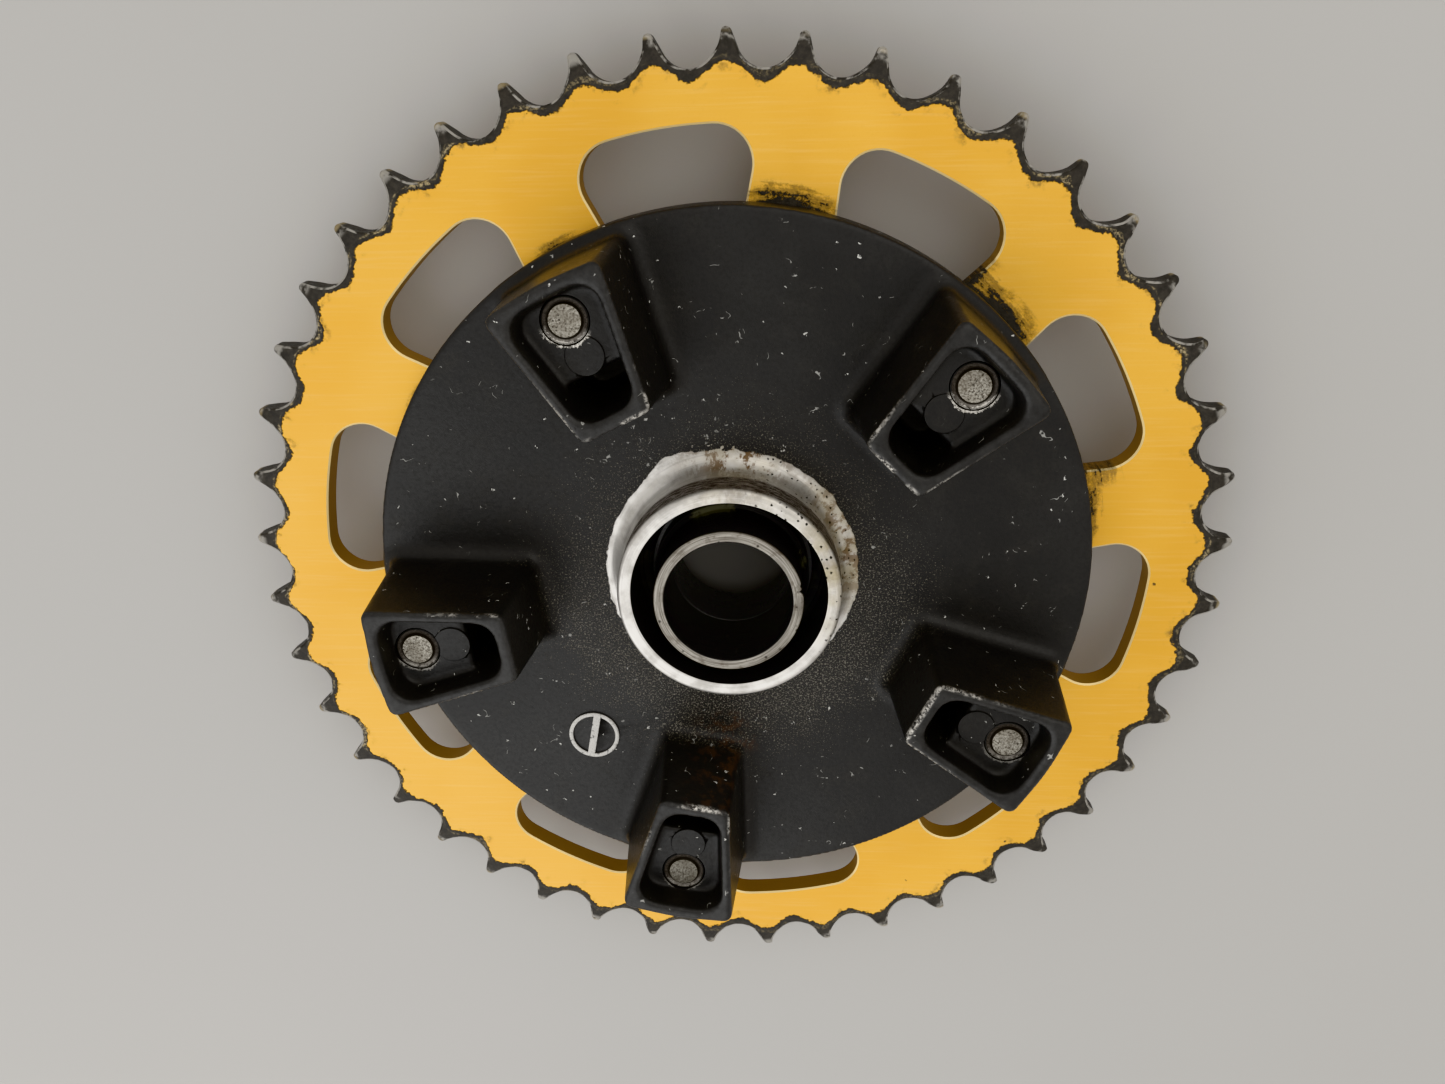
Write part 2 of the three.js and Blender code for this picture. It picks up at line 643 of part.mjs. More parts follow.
// A dished rubber seal. facing is 1 for the wheel side and -1 for the chain side.
function bearingSeal(facing) {
  const at = (depth) => BEARING_MIDDLE + facing * (BEARING_WIDTH / 2 - depth);
  const outer = SEAL_RECESS_RADIUS - RADIAL_FIT;
  const inner = INNER_LAND + SEAL_LIP_GAP;
  return ring([
    [inner, at(SEAL_LIP_DEPTH)],
    [inner + SEAL_LIP_SLOPE, at(SEAL_DISH)],
    [outer - RING_CHAMFER, at(SEAL_DISH)],
    [outer, at(RING_CHAMFER)],
    [outer, at(SEAL_RECESS_DEPTH)],
    [inner, at(SEAL_RECESS_DEPTH)],
  ], BEARING_SEGMENTS);
}

// ---- dust seal and sleeve ----

function dustSealCase() {
  const outer = DUST_SEAT - RADIAL_FIT;
  return ring([
    [outer, DUST_OUT],
    [outer, DUST_TOP],
    [outer - DUST_SHELL, DUST_TOP],
    [outer - DUST_SHELL, DUST_OUT + DUST_SHELL],
    [DUST_FACE_INNER, DUST_OUT + DUST_SHELL],
    [DUST_FACE_INNER, DUST_OUT],
  ], BEARING_SEGMENTS);
}

// The rubber part of the dust seal: a web from the case, a lip turned inwards against the
// shaft's collar, and a short lip that stands out against dust.
function dustSealLip() {
  const profile = [
    [DUST_FACE_INNER, 0],
    [DUST_FACE_INNER, DUST_SHELL],
    [22.0, 1.6],
    [21.3, 4.6],
    [19.6, 5.2],
    [19.1, 4.4],
    [20.1, 1.6],
    [19.4, -0.3],
    [20.2, -0.3],
    [21.6, 0],
  ];
  return ring(profile.map(([r, height]) => [r, DUST_OUT + height]), BEARING_SEGMENTS);
}

function spacerSleeve() {
  return ring([
    [SLEEVE_BORE, BEARING_TOP],
    [SLEEVE_COLLAR_RADIUS, BEARING_TOP],
    [SLEEVE_COLLAR_RADIUS, SLEEVE_COLLAR_TOP],
    [SLEEVE_RADIUS, SLEEVE_COLLAR_TOP + SLEEVE_STEP_CHAMFER],
    [SLEEVE_RADIUS, SLEEVE_TOP - SLEEVE_EDGE_CHAMFER],
    [SLEEVE_RADIUS - SLEEVE_EDGE_CHAMFER, SLEEVE_TOP],
    [SLEEVE_BORE + SLEEVE_BORE_CHAMFER, SLEEVE_TOP],
    [SLEEVE_BORE, SLEEVE_TOP - SLEEVE_BORE_CHAMFER],
  ], SLEEVE_SEGMENTS);
}

// ---- assembly ----

const assembly = new THREE.Group();
assembly.position.z = SEAT_HEIGHT;
assembly.add(piece('sprocket_ring', sprocketRing(), goldAnodised));
assembly.add(piece('carrier', carrier(), blackPaint));

for (let i = 0; i < STUD_COUNT; i += 1) {
  const station = new THREE.Group();
  station.rotation.z = STUD_ANGLE + (i * 2 * Math.PI) / STUD_COUNT;
  const studMesh = piece(`stud_${i + 1}`, stud(), zincSteel);
  const nutMesh = piece(`flange_nut_${i + 1}`, flangeNut(), zincSteel);
  studMesh.position.x = STUD_CIRCLE;
  nutMesh.position.x = STUD_CIRCLE;
  station.add(studMesh, nutMesh);
  assembly.add(station);
}

const bearing = new THREE.Group();
bearing.add(piece('bearing_outer_ring', bearingOuterRing(), bearingSteel));
bearing.add(piece('bearing_inner_ring', bearingInnerRing(), bearingSteel));
bearing.add(piece('bearing_cage', bearingCage(), cageBrown));
bearing.add(piece('bearing_seal_wheel_side', bearingSeal(1), blackRubber));
bearing.add(piece('bearing_seal_chain_side', bearingSeal(-1), blackRubber));
for (let i = 0; i < BALL_COUNT; i += 1) {
  const ballMesh = piece(`bearing_ball_${i + 1}`, ball(BALL_RADIUS), bearingSteel);
  const angle = (i * 2 * Math.PI) / BALL_COUNT;
  const x = BALL_CIRCLE * Math.cos(angle);
  const y = BALL_CIRCLE * Math.sin(angle);
  ballMesh.position.set(x, y, BEARING_MIDDLE);
  bearing.add(ballMesh);
}
assembly.add(bearing);

assembly.add(piece('dust_seal_case', dustSealCase(), zincSteel));
assembly.add(piece('dust_seal_lip', dustSealLip(), blackRubber));
assembly.add(piece('spacer_sleeve', spacerSleeve(), greySteel));

const rearSprocket = new THREE.Group();
rearSprocket.add(assembly);

export default rearSprocket;
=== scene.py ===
"""Looks of the rear sprocket on its cush-drive carrier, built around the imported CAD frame.

Lengths are in millimetres unless a name says otherwise, and heights are counted from the
sprocket's wheel-side face. place() turns them into metres in the row frame.
"""

import math

import bmesh
import bpy
import numpy as np
from mathutils import Matrix, Vector, geometry


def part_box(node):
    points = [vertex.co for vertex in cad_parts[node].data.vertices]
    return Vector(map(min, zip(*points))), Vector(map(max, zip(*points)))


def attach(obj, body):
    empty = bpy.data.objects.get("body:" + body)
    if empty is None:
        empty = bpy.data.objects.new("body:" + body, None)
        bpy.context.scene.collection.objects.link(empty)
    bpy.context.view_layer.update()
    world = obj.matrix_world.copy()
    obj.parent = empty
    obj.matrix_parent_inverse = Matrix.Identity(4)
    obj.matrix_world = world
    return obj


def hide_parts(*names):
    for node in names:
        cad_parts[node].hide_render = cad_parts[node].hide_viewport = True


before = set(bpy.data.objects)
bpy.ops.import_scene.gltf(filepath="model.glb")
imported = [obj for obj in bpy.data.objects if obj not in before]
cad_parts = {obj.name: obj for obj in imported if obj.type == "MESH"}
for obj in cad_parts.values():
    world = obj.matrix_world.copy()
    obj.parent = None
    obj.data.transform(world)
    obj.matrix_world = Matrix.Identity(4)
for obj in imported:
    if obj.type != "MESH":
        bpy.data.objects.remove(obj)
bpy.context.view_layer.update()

MM = 0.001
TURN = 2 * math.pi
rng = np.random.default_rng(45)


def cad_box_mm(node):
    low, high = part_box(node)
    return np.array(low) / MM, np.array(high) / MM


# ---- dimensions read from the frame ----

PLATE_LOW, PLATE_HIGH = cad_box_mm("sprocket_ring")
SEAT = PLATE_HIGH[2]
THICKNESS = PLATE_HIGH[2] - PLATE_LOW[2]
TIP_RADIUS = PLATE_HIGH[1]
FLANGE_RADIUS = cad_box_mm("carrier")[1][0]
STUD_LOW, STUD_HIGH = cad_box_mm("stud_1")
STUD_MIDDLE = (STUD_LOW + STUD_HIGH) / 2
STUD_CIRCLE = math.hypot(STUD_MIDDLE[0], STUD_MIDDLE[1])
STUD_ANGLE = math.atan2(STUD_MIDDLE[1], STUD_MIDDLE[0])


def heights(node):
    """Where a CAD node starts and ends along the axle, counted from the seat."""
    low, high = cad_box_mm(node)
    return low[2] - SEAT, high[2] - SEAT


HUB_END, LUG_TOP = heights("carrier")
STUD_BOTTOM, STUD_TOP = heights("stud_1")
NUT_BOTTOM, NUT_TOP = heights("flange_nut_1")
SLEEVE_BOTTOM, SLEEVE_TOP = heights("spacer_sleeve")
BEARING_LOW, BEARING_TOP = heights("bearing_inner_ring")
BEARING_MIDDLE = (BEARING_LOW + BEARING_TOP) / 2
DUST_OUT, DUST_TOP = heights("dust_seal_case")

# ---- the rest of the dimensions, as in the CAD source ----

TOOTH_COUNT = 45
HALF_PITCH = math.pi / TOOTH_COUNT
ROOT_RADIUS = 108.71
GULLET_RADIUS = 6.05
FLANK_LEAN = math.radians(17.5)
TIP_ROUND = 1.15
RELIEF_START = 112.9
RELIEF_SLOPE = 0.42
SPROCKET_BORE = 55.3
GRIME_LINE = 108.3
PLATE_HOLE = 5.25
WINDOW_COUNT = 10
WINDOW_OUTER = 98.4
WINDOW_INNER = 77.0
WINDOW_HALF = 19.4
WINDOW_HALF_AT = 90.0
WINDOW_SLOPE = 0.37
WINDOW_CROWN = 2.3
STUD_COUNT = 5
STUD_RADIUS = 4.95
STUD_HOLE = 5.1
STUD_FACE = 3.30
STUD_GROOVE = 3.86
STUD_RIM = 4.55
FLANGE_TOP = 7.9
BOSS_BORE = 21.8
BOSS_RADIUS = 25.05
BOSS_TOP = 22.4
BOSS_FILLET = 4.0
SCUFF_BAND = (14.5, 20.9)
PILOT_RADIUS = 55.0
PILOT_DEPTH = 4.6
RECESS_OUTER = 50.5
RECESS_INNER = 39.0
RECESS_ROOF = 2.5
HUB_RADIUS = 36.5
RIB_COUNT = 10
RIB_HALF = 2.0
LUG_INNER = 47.2
LUG_OUTER = 79.0
LUG_INNER_HALF = 7.9
LUG_OUTER_HALF = 13.3
LUG_SLOPE = (LUG_OUTER_HALF - LUG_INNER_HALF) / (LUG_OUTER - LUG_INNER)
LUG_CENTRE = 70.0
LUG_CROWN = 1.1
LUG_CORNER = 1.8
LUG_SPREAD_ALONG = 0.08
LUG_SPREAD_ACROSS = 0.17
POCKET_LAND = 2.1
POCKET_END_LAND = 2.7
POCKET_CORNER = 4.6
POCKET_FLOOR = 28.6
POCKET_CROWN = 0.4
POCKET_SHRINK = 0.09
WELL_SHRINK = 0.18
WELL_OUTER = 58.2
WELL_FLOOR = 11.5
PIN_RADIUS = 4.1
PIN_AT = 62.0
PIN_RISE = 0.35
CLOCK_AT = (-34.8, -44.4)
CLOCK_TURN = math.radians(79)
CLOCK_OUTER = 6.3
CLOCK_INNER = 5.2
CLOCK_BAR_HALF = 0.95
CLOCK_HEIGHT = 0.5
BEARING_SEAT = 29.0
BEARING_BORE = 14.0
BALL_COUNT = 9
BALL_RADIUS = 4.7
BALL_CIRCLE = 21.5
GROOVE_RADIUS = 5.0
OUTER_LAND = 24.3
INNER_LAND = 18.8
SEAL_RECESS = 25.5
SEAL_DEPTH = 1.9
DUST_SEAT = 30.0
NUT_FLATS = 15.0
NUT_FLANGE = 10.9
NUT_BORE = 5.05
SLEEVE_BORE = 14.13
SLEEVE_RADIUS = 16.53
COLLAR_RADIUS = 17.8
COLLAR_TOP = 10.8


# ---- flat outlines ----

def spread(count):
    """Angles of count points spread evenly round a circle."""
    return np.arange(count) * TURN / count


def on_circle(radius, angles):
    """Points at a radius from the origin, one for each angle."""
    return np.stack([radius * np.cos(angles), radius * np.sin(angles)], 1)


def arc(x, y, radius, start, end, steps):
    """Points on an arc about (x, y), both ends included."""
    return on_circle(radius, np.linspace(start, end, steps + 1)) + (x, y)


def rounded(corners, steps=5):
    """A closed outline from corners (x, y, radius), with each corner rounded."""
    points = []
    count = len(corners)
    for i, (x, y, radius) in enumerate(corners):
        here = np.array([x, y], float)
        if radius <= 0:
            points.append(here)
            continue
        before = np.array(corners[i - 1][:2], float) - here
        after = np.array(corners[(i + 1) % count][:2], float) - here
        before /= np.linalg.norm(before)
        after /= np.linalg.norm(after)
        half = math.acos(float(np.clip(before @ after, -1, 1))) / 2
        middle = before + after
        middle /= np.linalg.norm(middle)
        centre = here + middle * radius / math.sin(half)
        start = here + before * radius / math.tan(half) - centre
        end = here + after * radius / math.tan(half) - centre
        first = math.atan2(start[1], start[0])
        sweep = math.atan2(end[1], end[0]) - first
        sweep = (sweep + math.pi) % TURN - math.pi
        points.extend(arc(centre[0], centre[1], radius, first, first + sweep, steps))
    return np.array(points)


def turned_by(points, angle):
    c, s = math.cos(angle), math.sin(angle)
    return points @ np.array([[c, s], [-s, c]])


def outward(points):
    """Unit normals of a closed outline, pointing away from its inside."""
    along = np.roll(points, -1, 0) - np.roll(points, 1, 0)
    along /= np.linalg.norm(along, axis=1)[:, None]
    normals = np.stack([along[:, 1], -along[:, 0]], 1)
    x, y = points[:, 0], points[:, 1]
    area = np.sum(x * np.roll(y, -1) - np.roll(x, -1) * y)
    return normals if area > 0 else -normals


def polygon_distance(px, py, corners):
    """Signed distance from points to a closed polygon, negative inside."""
    nearest = np.full(px.shape, np.inf)
    inside = np.zeros(px.shape, bool)
    for (ax, ay), (bx, by) in zip(corners, np.roll(corners, -1, 0)):
        ex, ey = bx - ax, by - ay
        wx, wy = px - ax, py - ay
        share = np.clip((wx * ex + wy * ey) / (ex * ex + ey * ey + 1e-12), 0, 1)
        nearest = np.minimum(nearest, (wx - share * ex) ** 2 + (wy - share * ey) ** 2)
        if ay != by:
            inside ^= ((ay > py) != (by > py)) & (px < ex * (py - ay) / ey + ax)
    distance = np.sqrt(nearest)
    return np.where(inside, -distance, distance)


def spoke_angle(index):
    """Where a stud and its lug stand about the axle."""
    return STUD_ANGLE + index * TURN / STUD_COUNT


def spoke_point(index, radius):
    return radius * math.cos(spoke_angle(index)), radius * math.sin(spoke_angle(index))


def lug_half(along):
    """Half the width of a lug's top, at a distance from the axle."""
    return (along - LUG_INNER) * LUG_SLOPE + LUG_INNER_HALF


def level(flat, height):
    """Flat points lifted to one height, or each to its own."""
    return np.column_stack([flat, np.broadcast_to(height, len(flat))])


# ---- meshes ----

def place(points):
    """Millimetres above the seat face, as metres in the row frame."""
    out = np.array(points, float)
    out[:, 2] += SEAT
    return out * MM


def rows_to_faces(rows, closed):
    """Quads between neighbouring rows of a grid whose columns close on themselves."""
    columns = len(rows[0])
    faces = []
    for i in range(len(rows) if closed else len(rows) - 1):
        a = i * columns
        b = (i + 1) % len(rows) * columns
        for j in range(columns):
            k = (j + 1) % columns
            faces.append((a + j, a + k, b + k, b + j))
    return faces


def ring_rows(profile, segments, at=(0.0, 0.0)):
    """One row of points for each (radius, height) of a turned profile."""
    angles = spread(segments)
    return [level(on_circle(radius, angles) + at, height) for radius, height in profile]


def ring_object(name, rows):
    """A ring whose rows of points close on themselves."""
    return raw_object(name, np.concatenate(rows), rows_to_faces(rows, True))


def bar_object(name, rows):
    """A solid with flat ends, from rows of points."""
    columns = len(rows[0])
    faces = rows_to_faces(rows, False)
    faces.append(tuple(range(columns)))
    top = (len(rows) - 1) * columns
    faces.append(tuple(range(top, top + columns)))
    return raw_object(name, np.concatenate(rows), faces)


def linked(name, data):
    """A new object with the given data, put into the scene."""
    obj = bpy.data.objects.new(name, data)
    bpy.context.scene.collection.objects.link(obj)
    return obj


def raw_object(name, points, faces):
    """A closed mesh object with its normals turned outwards."""
    mesh = bpy.data.meshes.new(name)
    mesh.from_pydata(place(points).tolist(), [], faces)
    work = bmesh.new()
    work.from_mesh(mesh)
    bmesh.ops.remove_doubles(work, verts=work.verts, dist=1e-7)
    bmesh.ops.recalc_face_normals(work, faces=work.faces)
    work.to_mesh(mesh)
    work.free()
    return linked(name, mesh)


def smooth(obj, degrees):
    mesh = obj.data
    mesh.polygons.foreach_set("use_smooth", [True] * len(mesh.polygons))
    mesh.set_sharp_from_angle(angle=math.radians(degrees))


def stand_in(obj, body, node):
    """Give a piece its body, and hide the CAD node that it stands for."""
    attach(obj, body)
    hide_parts(node)


def settle(obj, body, node, look):
    obj.data.materials.clear()
    obj.data.materials.append(look)
    stand_in(obj, body, node)


def turned_piece(name, profile, node, body, look):
    obj = ring_object(name, ring_rows(profile, TURNED))
    smooth(obj, 28)
    settle(obj, body, node, look)


def apply_modifiers(obj):
    graph = bpy.context.evaluated_depsgraph_get()
    mesh = bpy.data.meshes.new_from_object(obj.evaluated_get(graph))
    obj.modifiers.clear()
    obj.data = mesh


def combine(obj, other, operation):
    """Boolean of two closed objects. The other one is used up."""
    step = obj.modifiers.new("combine", "BOOLEAN")
    step.operation = operation
    step.solver = "MANIFOLD"
    step.object = other
    apply_modifiers(obj)
    bpy.data.objects.remove(other)


# ---- colours, scene-linear red, green and blue ----

GOLD = (0.86, 0.495, 0.082)
GOLD_DEEP = (0.77, 0.415, 0.055)
# The pale gold below serves the rolled streaks, and also a painted highlight on the bevels.
GOLD_PALE = (1.0, 0.84, 0.46)
# The dark brown below is painted shade for the plate's upright walls.
GOLD_WALL_SHADE = (0.30, 0.155, 0.03)
GRIME = (0.022, 0.020, 0.017)
GRIME_PALE = (0.060, 0.054, 0.046)
CREAM = (0.50, 0.40, 0.22)
GLINT = (0.55, 0.53, 0.49)
OIL = (0.024, 0.024, 0.026)

PAINT = (0.0225, 0.0225, 0.0228)
PAINT_PALE = (0.029, 0.029, 0.0292)
PAINT_FILM = (0.05, 0.048, 0.044)
PAINT_DEEP = (0.012, 0.012, 0.013)
PAINT_RUST = (0.08, 0.04, 0.022)
DUST = (0.34, 0.32, 0.275)
# The pale grey below is rubbed paint on the lug tops, and also a painted highlight along the rims'
# edges.
RUBBED_AND_RIM_HIGHLIGHT = (0.066, 0.066, 0.066)
CHIP = (0.66, 0.66, 0.63)
SCRAPED = (0.62, 0.6, 0.56)
CLOCK_METAL = (0.47, 0.46, 0.44)

BARE = (0.68, 0.665, 0.64)
BARE_DULL = (0.47, 0.455, 0.43)
BARE_BRIGHT = (0.8, 0.785, 0.765)
BARE_DARK = (0.36, 0.345, 0.33)
BARE_TINT = (0.42, 0.36, 0.22)
BARE_UNDER = (0.22, 0.215, 0.2)
DRIP = (0.15, 0.08, 0.025)
SCUFF = (0.25, 0.22, 0.2)
SCUFF_DARK = (0.06, 0.05, 0.045)

ZINC_DARK = (0.12, 0.105, 0.085)
ZINC_PALE = (0.52, 0.5, 0.445)
ZINC_BROWN = (0.17, 0.15, 0.12)
ZINC_PIT = (0.06, 0.055, 0.045)
ZINC_GREASE = (0.1, 0.095, 0.08)
# The near black below is painted shade in the studs' end groove.
GROOVE_SHADE = (0.02, 0.017, 0.014)
BEVEL_DARK = (0.035, 0.03, 0.026)
BEVEL_PALE = (0.095, 0.085, 0.075)
BEVEL_LIT = (0.34, 0.32, 0.29)
RIM_BLACK = (0.028, 0.028, 0.028)
NUT_ZINC = (0.56, 0.55, 0.5)
NUT_DULL = (0.36, 0.345, 0.3)
NUT_DIRT = (0.07, 0.06, 0.05)

SLEEVE_DARK = (0.16, 0.145, 0.125)
SLEEVE_PALE = (0.44, 0.42, 0.38)
SLEEVE_STAIN = (0.12, 0.1, 0.08)
SLEEVE_SPOT = (0.035, 0.03, 0.025)
SLEEVE_SCRATCH = (0.2, 0.19, 0.17)
SLEEVE_GREASE = (0.23, 0.225, 0.155)
COLLAR_SHEEN = (0.2, 0.2, 0.2)
GROUND_STEEL = (0.5, 0.5, 0.5)
GROUND_BRIGHT = (0.66, 0.66, 0.655)
FINGER_MARK = (0.28, 0.26, 0.23)
BALL_STEEL = (0.7, 0.7, 0.71)
BALL_FILM = (0.52, 0.5, 0.46)
POLYAMIDE = (0.2, 0.13, 0.075)
POLYAMIDE_PALE = (0.28, 0.19, 0.11)
FIBRE = (0.5, 0.43, 0.33)
RUBBER = (0.012, 0.012, 0.013)
RUBBER_BLOOM = (0.05, 0.047, 0.042)
CASE_STEEL = (0.34, 0.335, 0.32)
CASE_DULL = (0.2, 0.18, 0.155)
RUST = (0.16, 0.07, 0.028)


# ---- materials ----

def reckoned(operation, turned=False):
    """A method of Value that adds one math node."""
    def method(self, other=None):
        first, second = (other, self) if turned else (self, other)
        return self.look.math(operation, first, second)
    return method


class Value:
    """What a node gives out, to be reckoned with like a number."""

    def __init__(self, look, socket):
        self.look = look
        self.socket = socket

    __add__ = __radd__ = reckoned("ADD")
    __mul__ = __rmul__ = reckoned("MULTIPLY")
    __sub__ = reckoned("SUBTRACT")
    __rsub__ = reckoned("SUBTRACT", turned=True)
    __truediv__ = reckoned("DIVIDE")
    __mod__ = reckoned("MODULO")
    __abs__ = reckoned("ABSOLUTE")
    cos = reckoned("COSINE")
    sin = reckoned("SINE")
    root = reckoned("SQRT")

    def step(self, low, high):
        """0 below low, 1 above high, smooth between. low above high turns it round."""
        ends = (0.0, 1.0) if low < high else (1.0, 0.0)
        inputs = {"Value": self, "From Min": min(low, high), "From Max": max(low, high),
                  "To Min": ends[0], "To Max": ends[1]}
        return self.look.add("MapRange", inputs, interpolation_type="SMOOTHSTEP")[0]

    def between(self, low, high, soft):
        """1 from low to high, fading out over soft on both sides."""
        return self.step(low - soft, low) * self.step(high + soft, high)

    # The Mix node numbers its colour inputs 6 and 7, and its number inputs 2 and 3.

    def mix(self, a, b):
        """Colour a where this is 0, colour b where it is 1."""
        return self.look.add("Mix", {"Factor": self, 6: a, 7: b}, data_type="RGBA")[2]

    def blend(self, a, b):
        """Number a where this is 0, number b where it is 1."""
        return self.look.add("Mix", {"Factor": self, 2: a, 3: b}, data_type="FLOAT")[0]


def length(a, b):
    return (a * a + b * b).root()


def most(value, *others):
    """The largest of several values at each point."""
    for other in others:
        value = value.look.math("MAXIMUM", value, other)
    return value


def coated(colour, *coats):
    """A colour with coats over it, each given as its mask and its colour."""
    for mask, coat in coats:
        colour = mask.mix(colour, coat)
    return colour


class Look:
    """A material under construction, with short names for the nodes that it needs."""

    def __init__(self, name):
        self.material = bpy.data.materials.new(name)
        self.material.use_nodes = True
        tree = self.material.node_tree
        self.nodes, self.links = tree.nodes, tree.links
        _, normal, _, position, *_ = self.add("TexCoord", {})
        self.normal_z = self.add("SeparateXYZ", {0: normal})[2]
        inputs = {0: position, "Scale": 1 / MM}
        self.point = self.add("VectorMath", inputs, operation="SCALE")[0]
        self.x, self.y, above = self.add("SeparateXYZ", {0: self.point})
        self.height = above - SEAT
        self.radius = length(self.x, self.y)
        self.angle = self.math("ARCTAN2", self.y, self.x)

    def put(self, socket, value):
        if isinstance(value, Value):
            self.links.new(value.socket, socket)
        elif isinstance(value, tuple) and len(value) < len(socket.default_value):
            socket.default_value = (*value, 1.0)
        else:
            socket.default_value = value

    def add(self, kind, inputs, **settings):
        """Add a node with its settings and inputs, and give back all that it puts out."""
        node = self.nodes.new("ShaderNode" + kind)
        for name, setting in settings.items():
            setattr(node, name, setting)
        for key, value in inputs.items():
            self.put(node.inputs[key], value)
        return [Value(self, socket) for socket in node.outputs]

    def math(self, operation, a, b=None, clamp=False):
        inputs = {0: a} if b is None else {0: a, 1: b}
        return self.add("Math", inputs, operation=operation, use_clamp=clamp)[0]

    def clouds(self, scale, detail, roughness, at=None):
        """Noise, as a value and as a colour."""
        inputs = {"Vector": at or self.point, "Scale": scale, "Detail": detail,
                  "Roughness": roughness}
        return self.add("TexNoise", inputs)

    def noise(self, scale, detail=3.0, roughness=0.55, at=None):
        return self.clouds(scale, detail, roughness, at)[0]

    def wobble(self, amount, *noise):
        """Noise that swings to both sides of 0."""
        return (self.noise(*noise) - 0.5) * amount

    def spots(self, scale, size, share, at=None):
        """Round spots at scattered points. size and share run from no spot to a full one."""
        distance, tint = self.add("TexVoronoi", {"Vector": at or self.point, "Scale": scale})[:2]
        pick = self.add("SeparateColor", {0: tint})[0]
        return distance.step(*size) * pick.step(*share)

    def stretched(self, x, y, z):
        return self.add("VectorMath", {0: self.point, 1: (x, y, z)}, operation="MULTIPLY")[0]

    def joined(self, x, y, z):
        return self.add("CombineXYZ", {0: x, 1: y, 2: z})[0]

    def warped(self, amount, scale):
        """The point, pushed about by noise."""
        inputs = {0: self.clouds(scale, 2.0, 0.5)[1], 1: (amount,) * 3, 2: self.point}
        return self.add("VectorMath", inputs, operation="MULTIPLY_ADD")[0]

    def off_spoke(self, count, start):
        """The angle from the nearest of count spokes, the first of which is at start."""
        pitch = TURN / count
        return (self.angle + (TURN * 2 - start + pitch / 2)) % pitch - pitch / 2

    def near_angle(self, degrees, half):
        """1 at an angle about the axle, falling to 0 at half degrees to either side."""
        return abs(self.off_spoke(1, math.radians(degrees))).step(math.radians(half), 0.0)

    def finish(self, colour, roughness, metallic, bump=None, depth=0.05, specular=0.5):
        """Link up the shader. bump is a height, and depth its scale in millimetres."""
        inputs = {"Base Color": colour, "Roughness": roughness, "Metallic": metallic,
                  "Specular IOR Level": specular}
        if bump is not None:
            inputs["Normal"] = self.add("Bump", {"Height": bump, "Distance": depth * MM})[0]
        for name, value in inputs.items():
            self.put(self.nodes["Principled BSDF"].inputs[name], value)
        return self.material


def gold_look():
    """Satin gold anodising, with grease and bare wear round the teeth."""
    look = Look("gold_anodised_worn")
    broad = look.noise(0.03, 2.0)
    fine = look.noise(1.7, 4.0, 0.6)
    rolled = look.noise(0.55, 3.0, 0.6, look.stretched(0.1, 2.6, 1.0))
    lean = abs(look.normal_z)
    flat = lean.step(0.9, 0.985)
    # Sloped bevels round the holes and the rim turn pale gold: partly worn anodising, partly a
    # painted highlight line.
    edge = lean.step(0.25, 0.45) * (1 - flat)
    # Upright faces of the windows and teeth turn darker brown: painted shade, since they face away
    # from the light.
    wall = lean.step(0.35, 0.1)
    grime, rubbed = tooth_grime(look)
    smear = spoke_grease(look)
    specks = dark_specks(look)
    tone = look.noise(0.8, 4.0, 0.6).step(0.3, 0.8)
    tips = (look.radius.step(TIP_RADIUS - 1.5, TIP_RADIUS - 0.7)
            * look.noise(0.09, 2.0).step(0.44, 0.54))
    cover = most(grime, smear, specks)
    dirt = coated(
        tone.mix(GRIME, GRIME_PALE),
        (rubbed * 0.9, CREAM),
        (tips * 0.5, CREAM),
    )
    glints = edge * grime * look.noise(0.35, 3.0).step(0.42, 0.58)
    rough = cover.blend(0.42, tone.blend(0.4, 0.62))
    metallic = cover.blend(0.35, glints.blend(0.05, 0.9))
    height = cover * 1.1 + look.noise(2.0, 5.0, 0.65) * 1.1 + fine * 0.15
    bumped = height * cover.blend(0.1, 1.0)
    colour = coated(
        (broad.step(0.35, 0.7) * 0.7).mix(GOLD, GOLD_DEEP),
        (rolled.step(0.45, 0.8) * 0.1, GOLD_PALE),
        (fine.step(0.52, 0.75) * 0.22, GOLD_DEEP),
        (edge * 0.8, GOLD_PALE),
        (wall * 0.8, GOLD_WALL_SHADE),
        (cover, dirt),
        (glints * 0.8, GLINT),
    )
    return look.finish(colour, rough, metallic, bumped, 0.14)


def tooth_grime(look):
    """Where chain grease covers the rim, and where the chain's side plates rub it bare."""
    wave = ((look.angle - math.pi / 2) * TOOTH_COUNT).cos()
    slow = look.wobble(2.6, 0.045, 2.0)
    middling = look.wobble(2.6, 0.25, 3.0, 0.6)
    ragged = look.wobble(1.3, 1.0, 4.0, 0.65)
    clean = look.near_angle(188, 60) * -0.9
    line = look.radius + wave * -1.75 + slow + middling + ragged + clean
    mask = line.step(GRIME_LINE - 0.25, GRIME_LINE + 0.15)
    patchy = look.noise(0.3, 4.0, 0.6).step(0.53, 0.74)
    haze = line.step(GRIME_LINE - 3.2, GRIME_LINE) * patchy * 0.7
    away = abs(look.radius + wave * -1.55 + middling * 0.55 - (GRIME_LINE + 1.15))
    width = look.noise(0.13, 3.0, 0.6).step(0.4, 0.75) * 1.2
    grain = look.noise(1.5, 5.0, 0.75).step(0.44, 0.62)
    rubbed = (away - width).step(0.1, -0.45) * grain
    sides = most(look.near_angle(165, 95), look.near_angle(30, 60), 0.15)
    return most(mask, haze), rubbed * look.math("MULTIPLY", sides, 1.6, clamp=True)


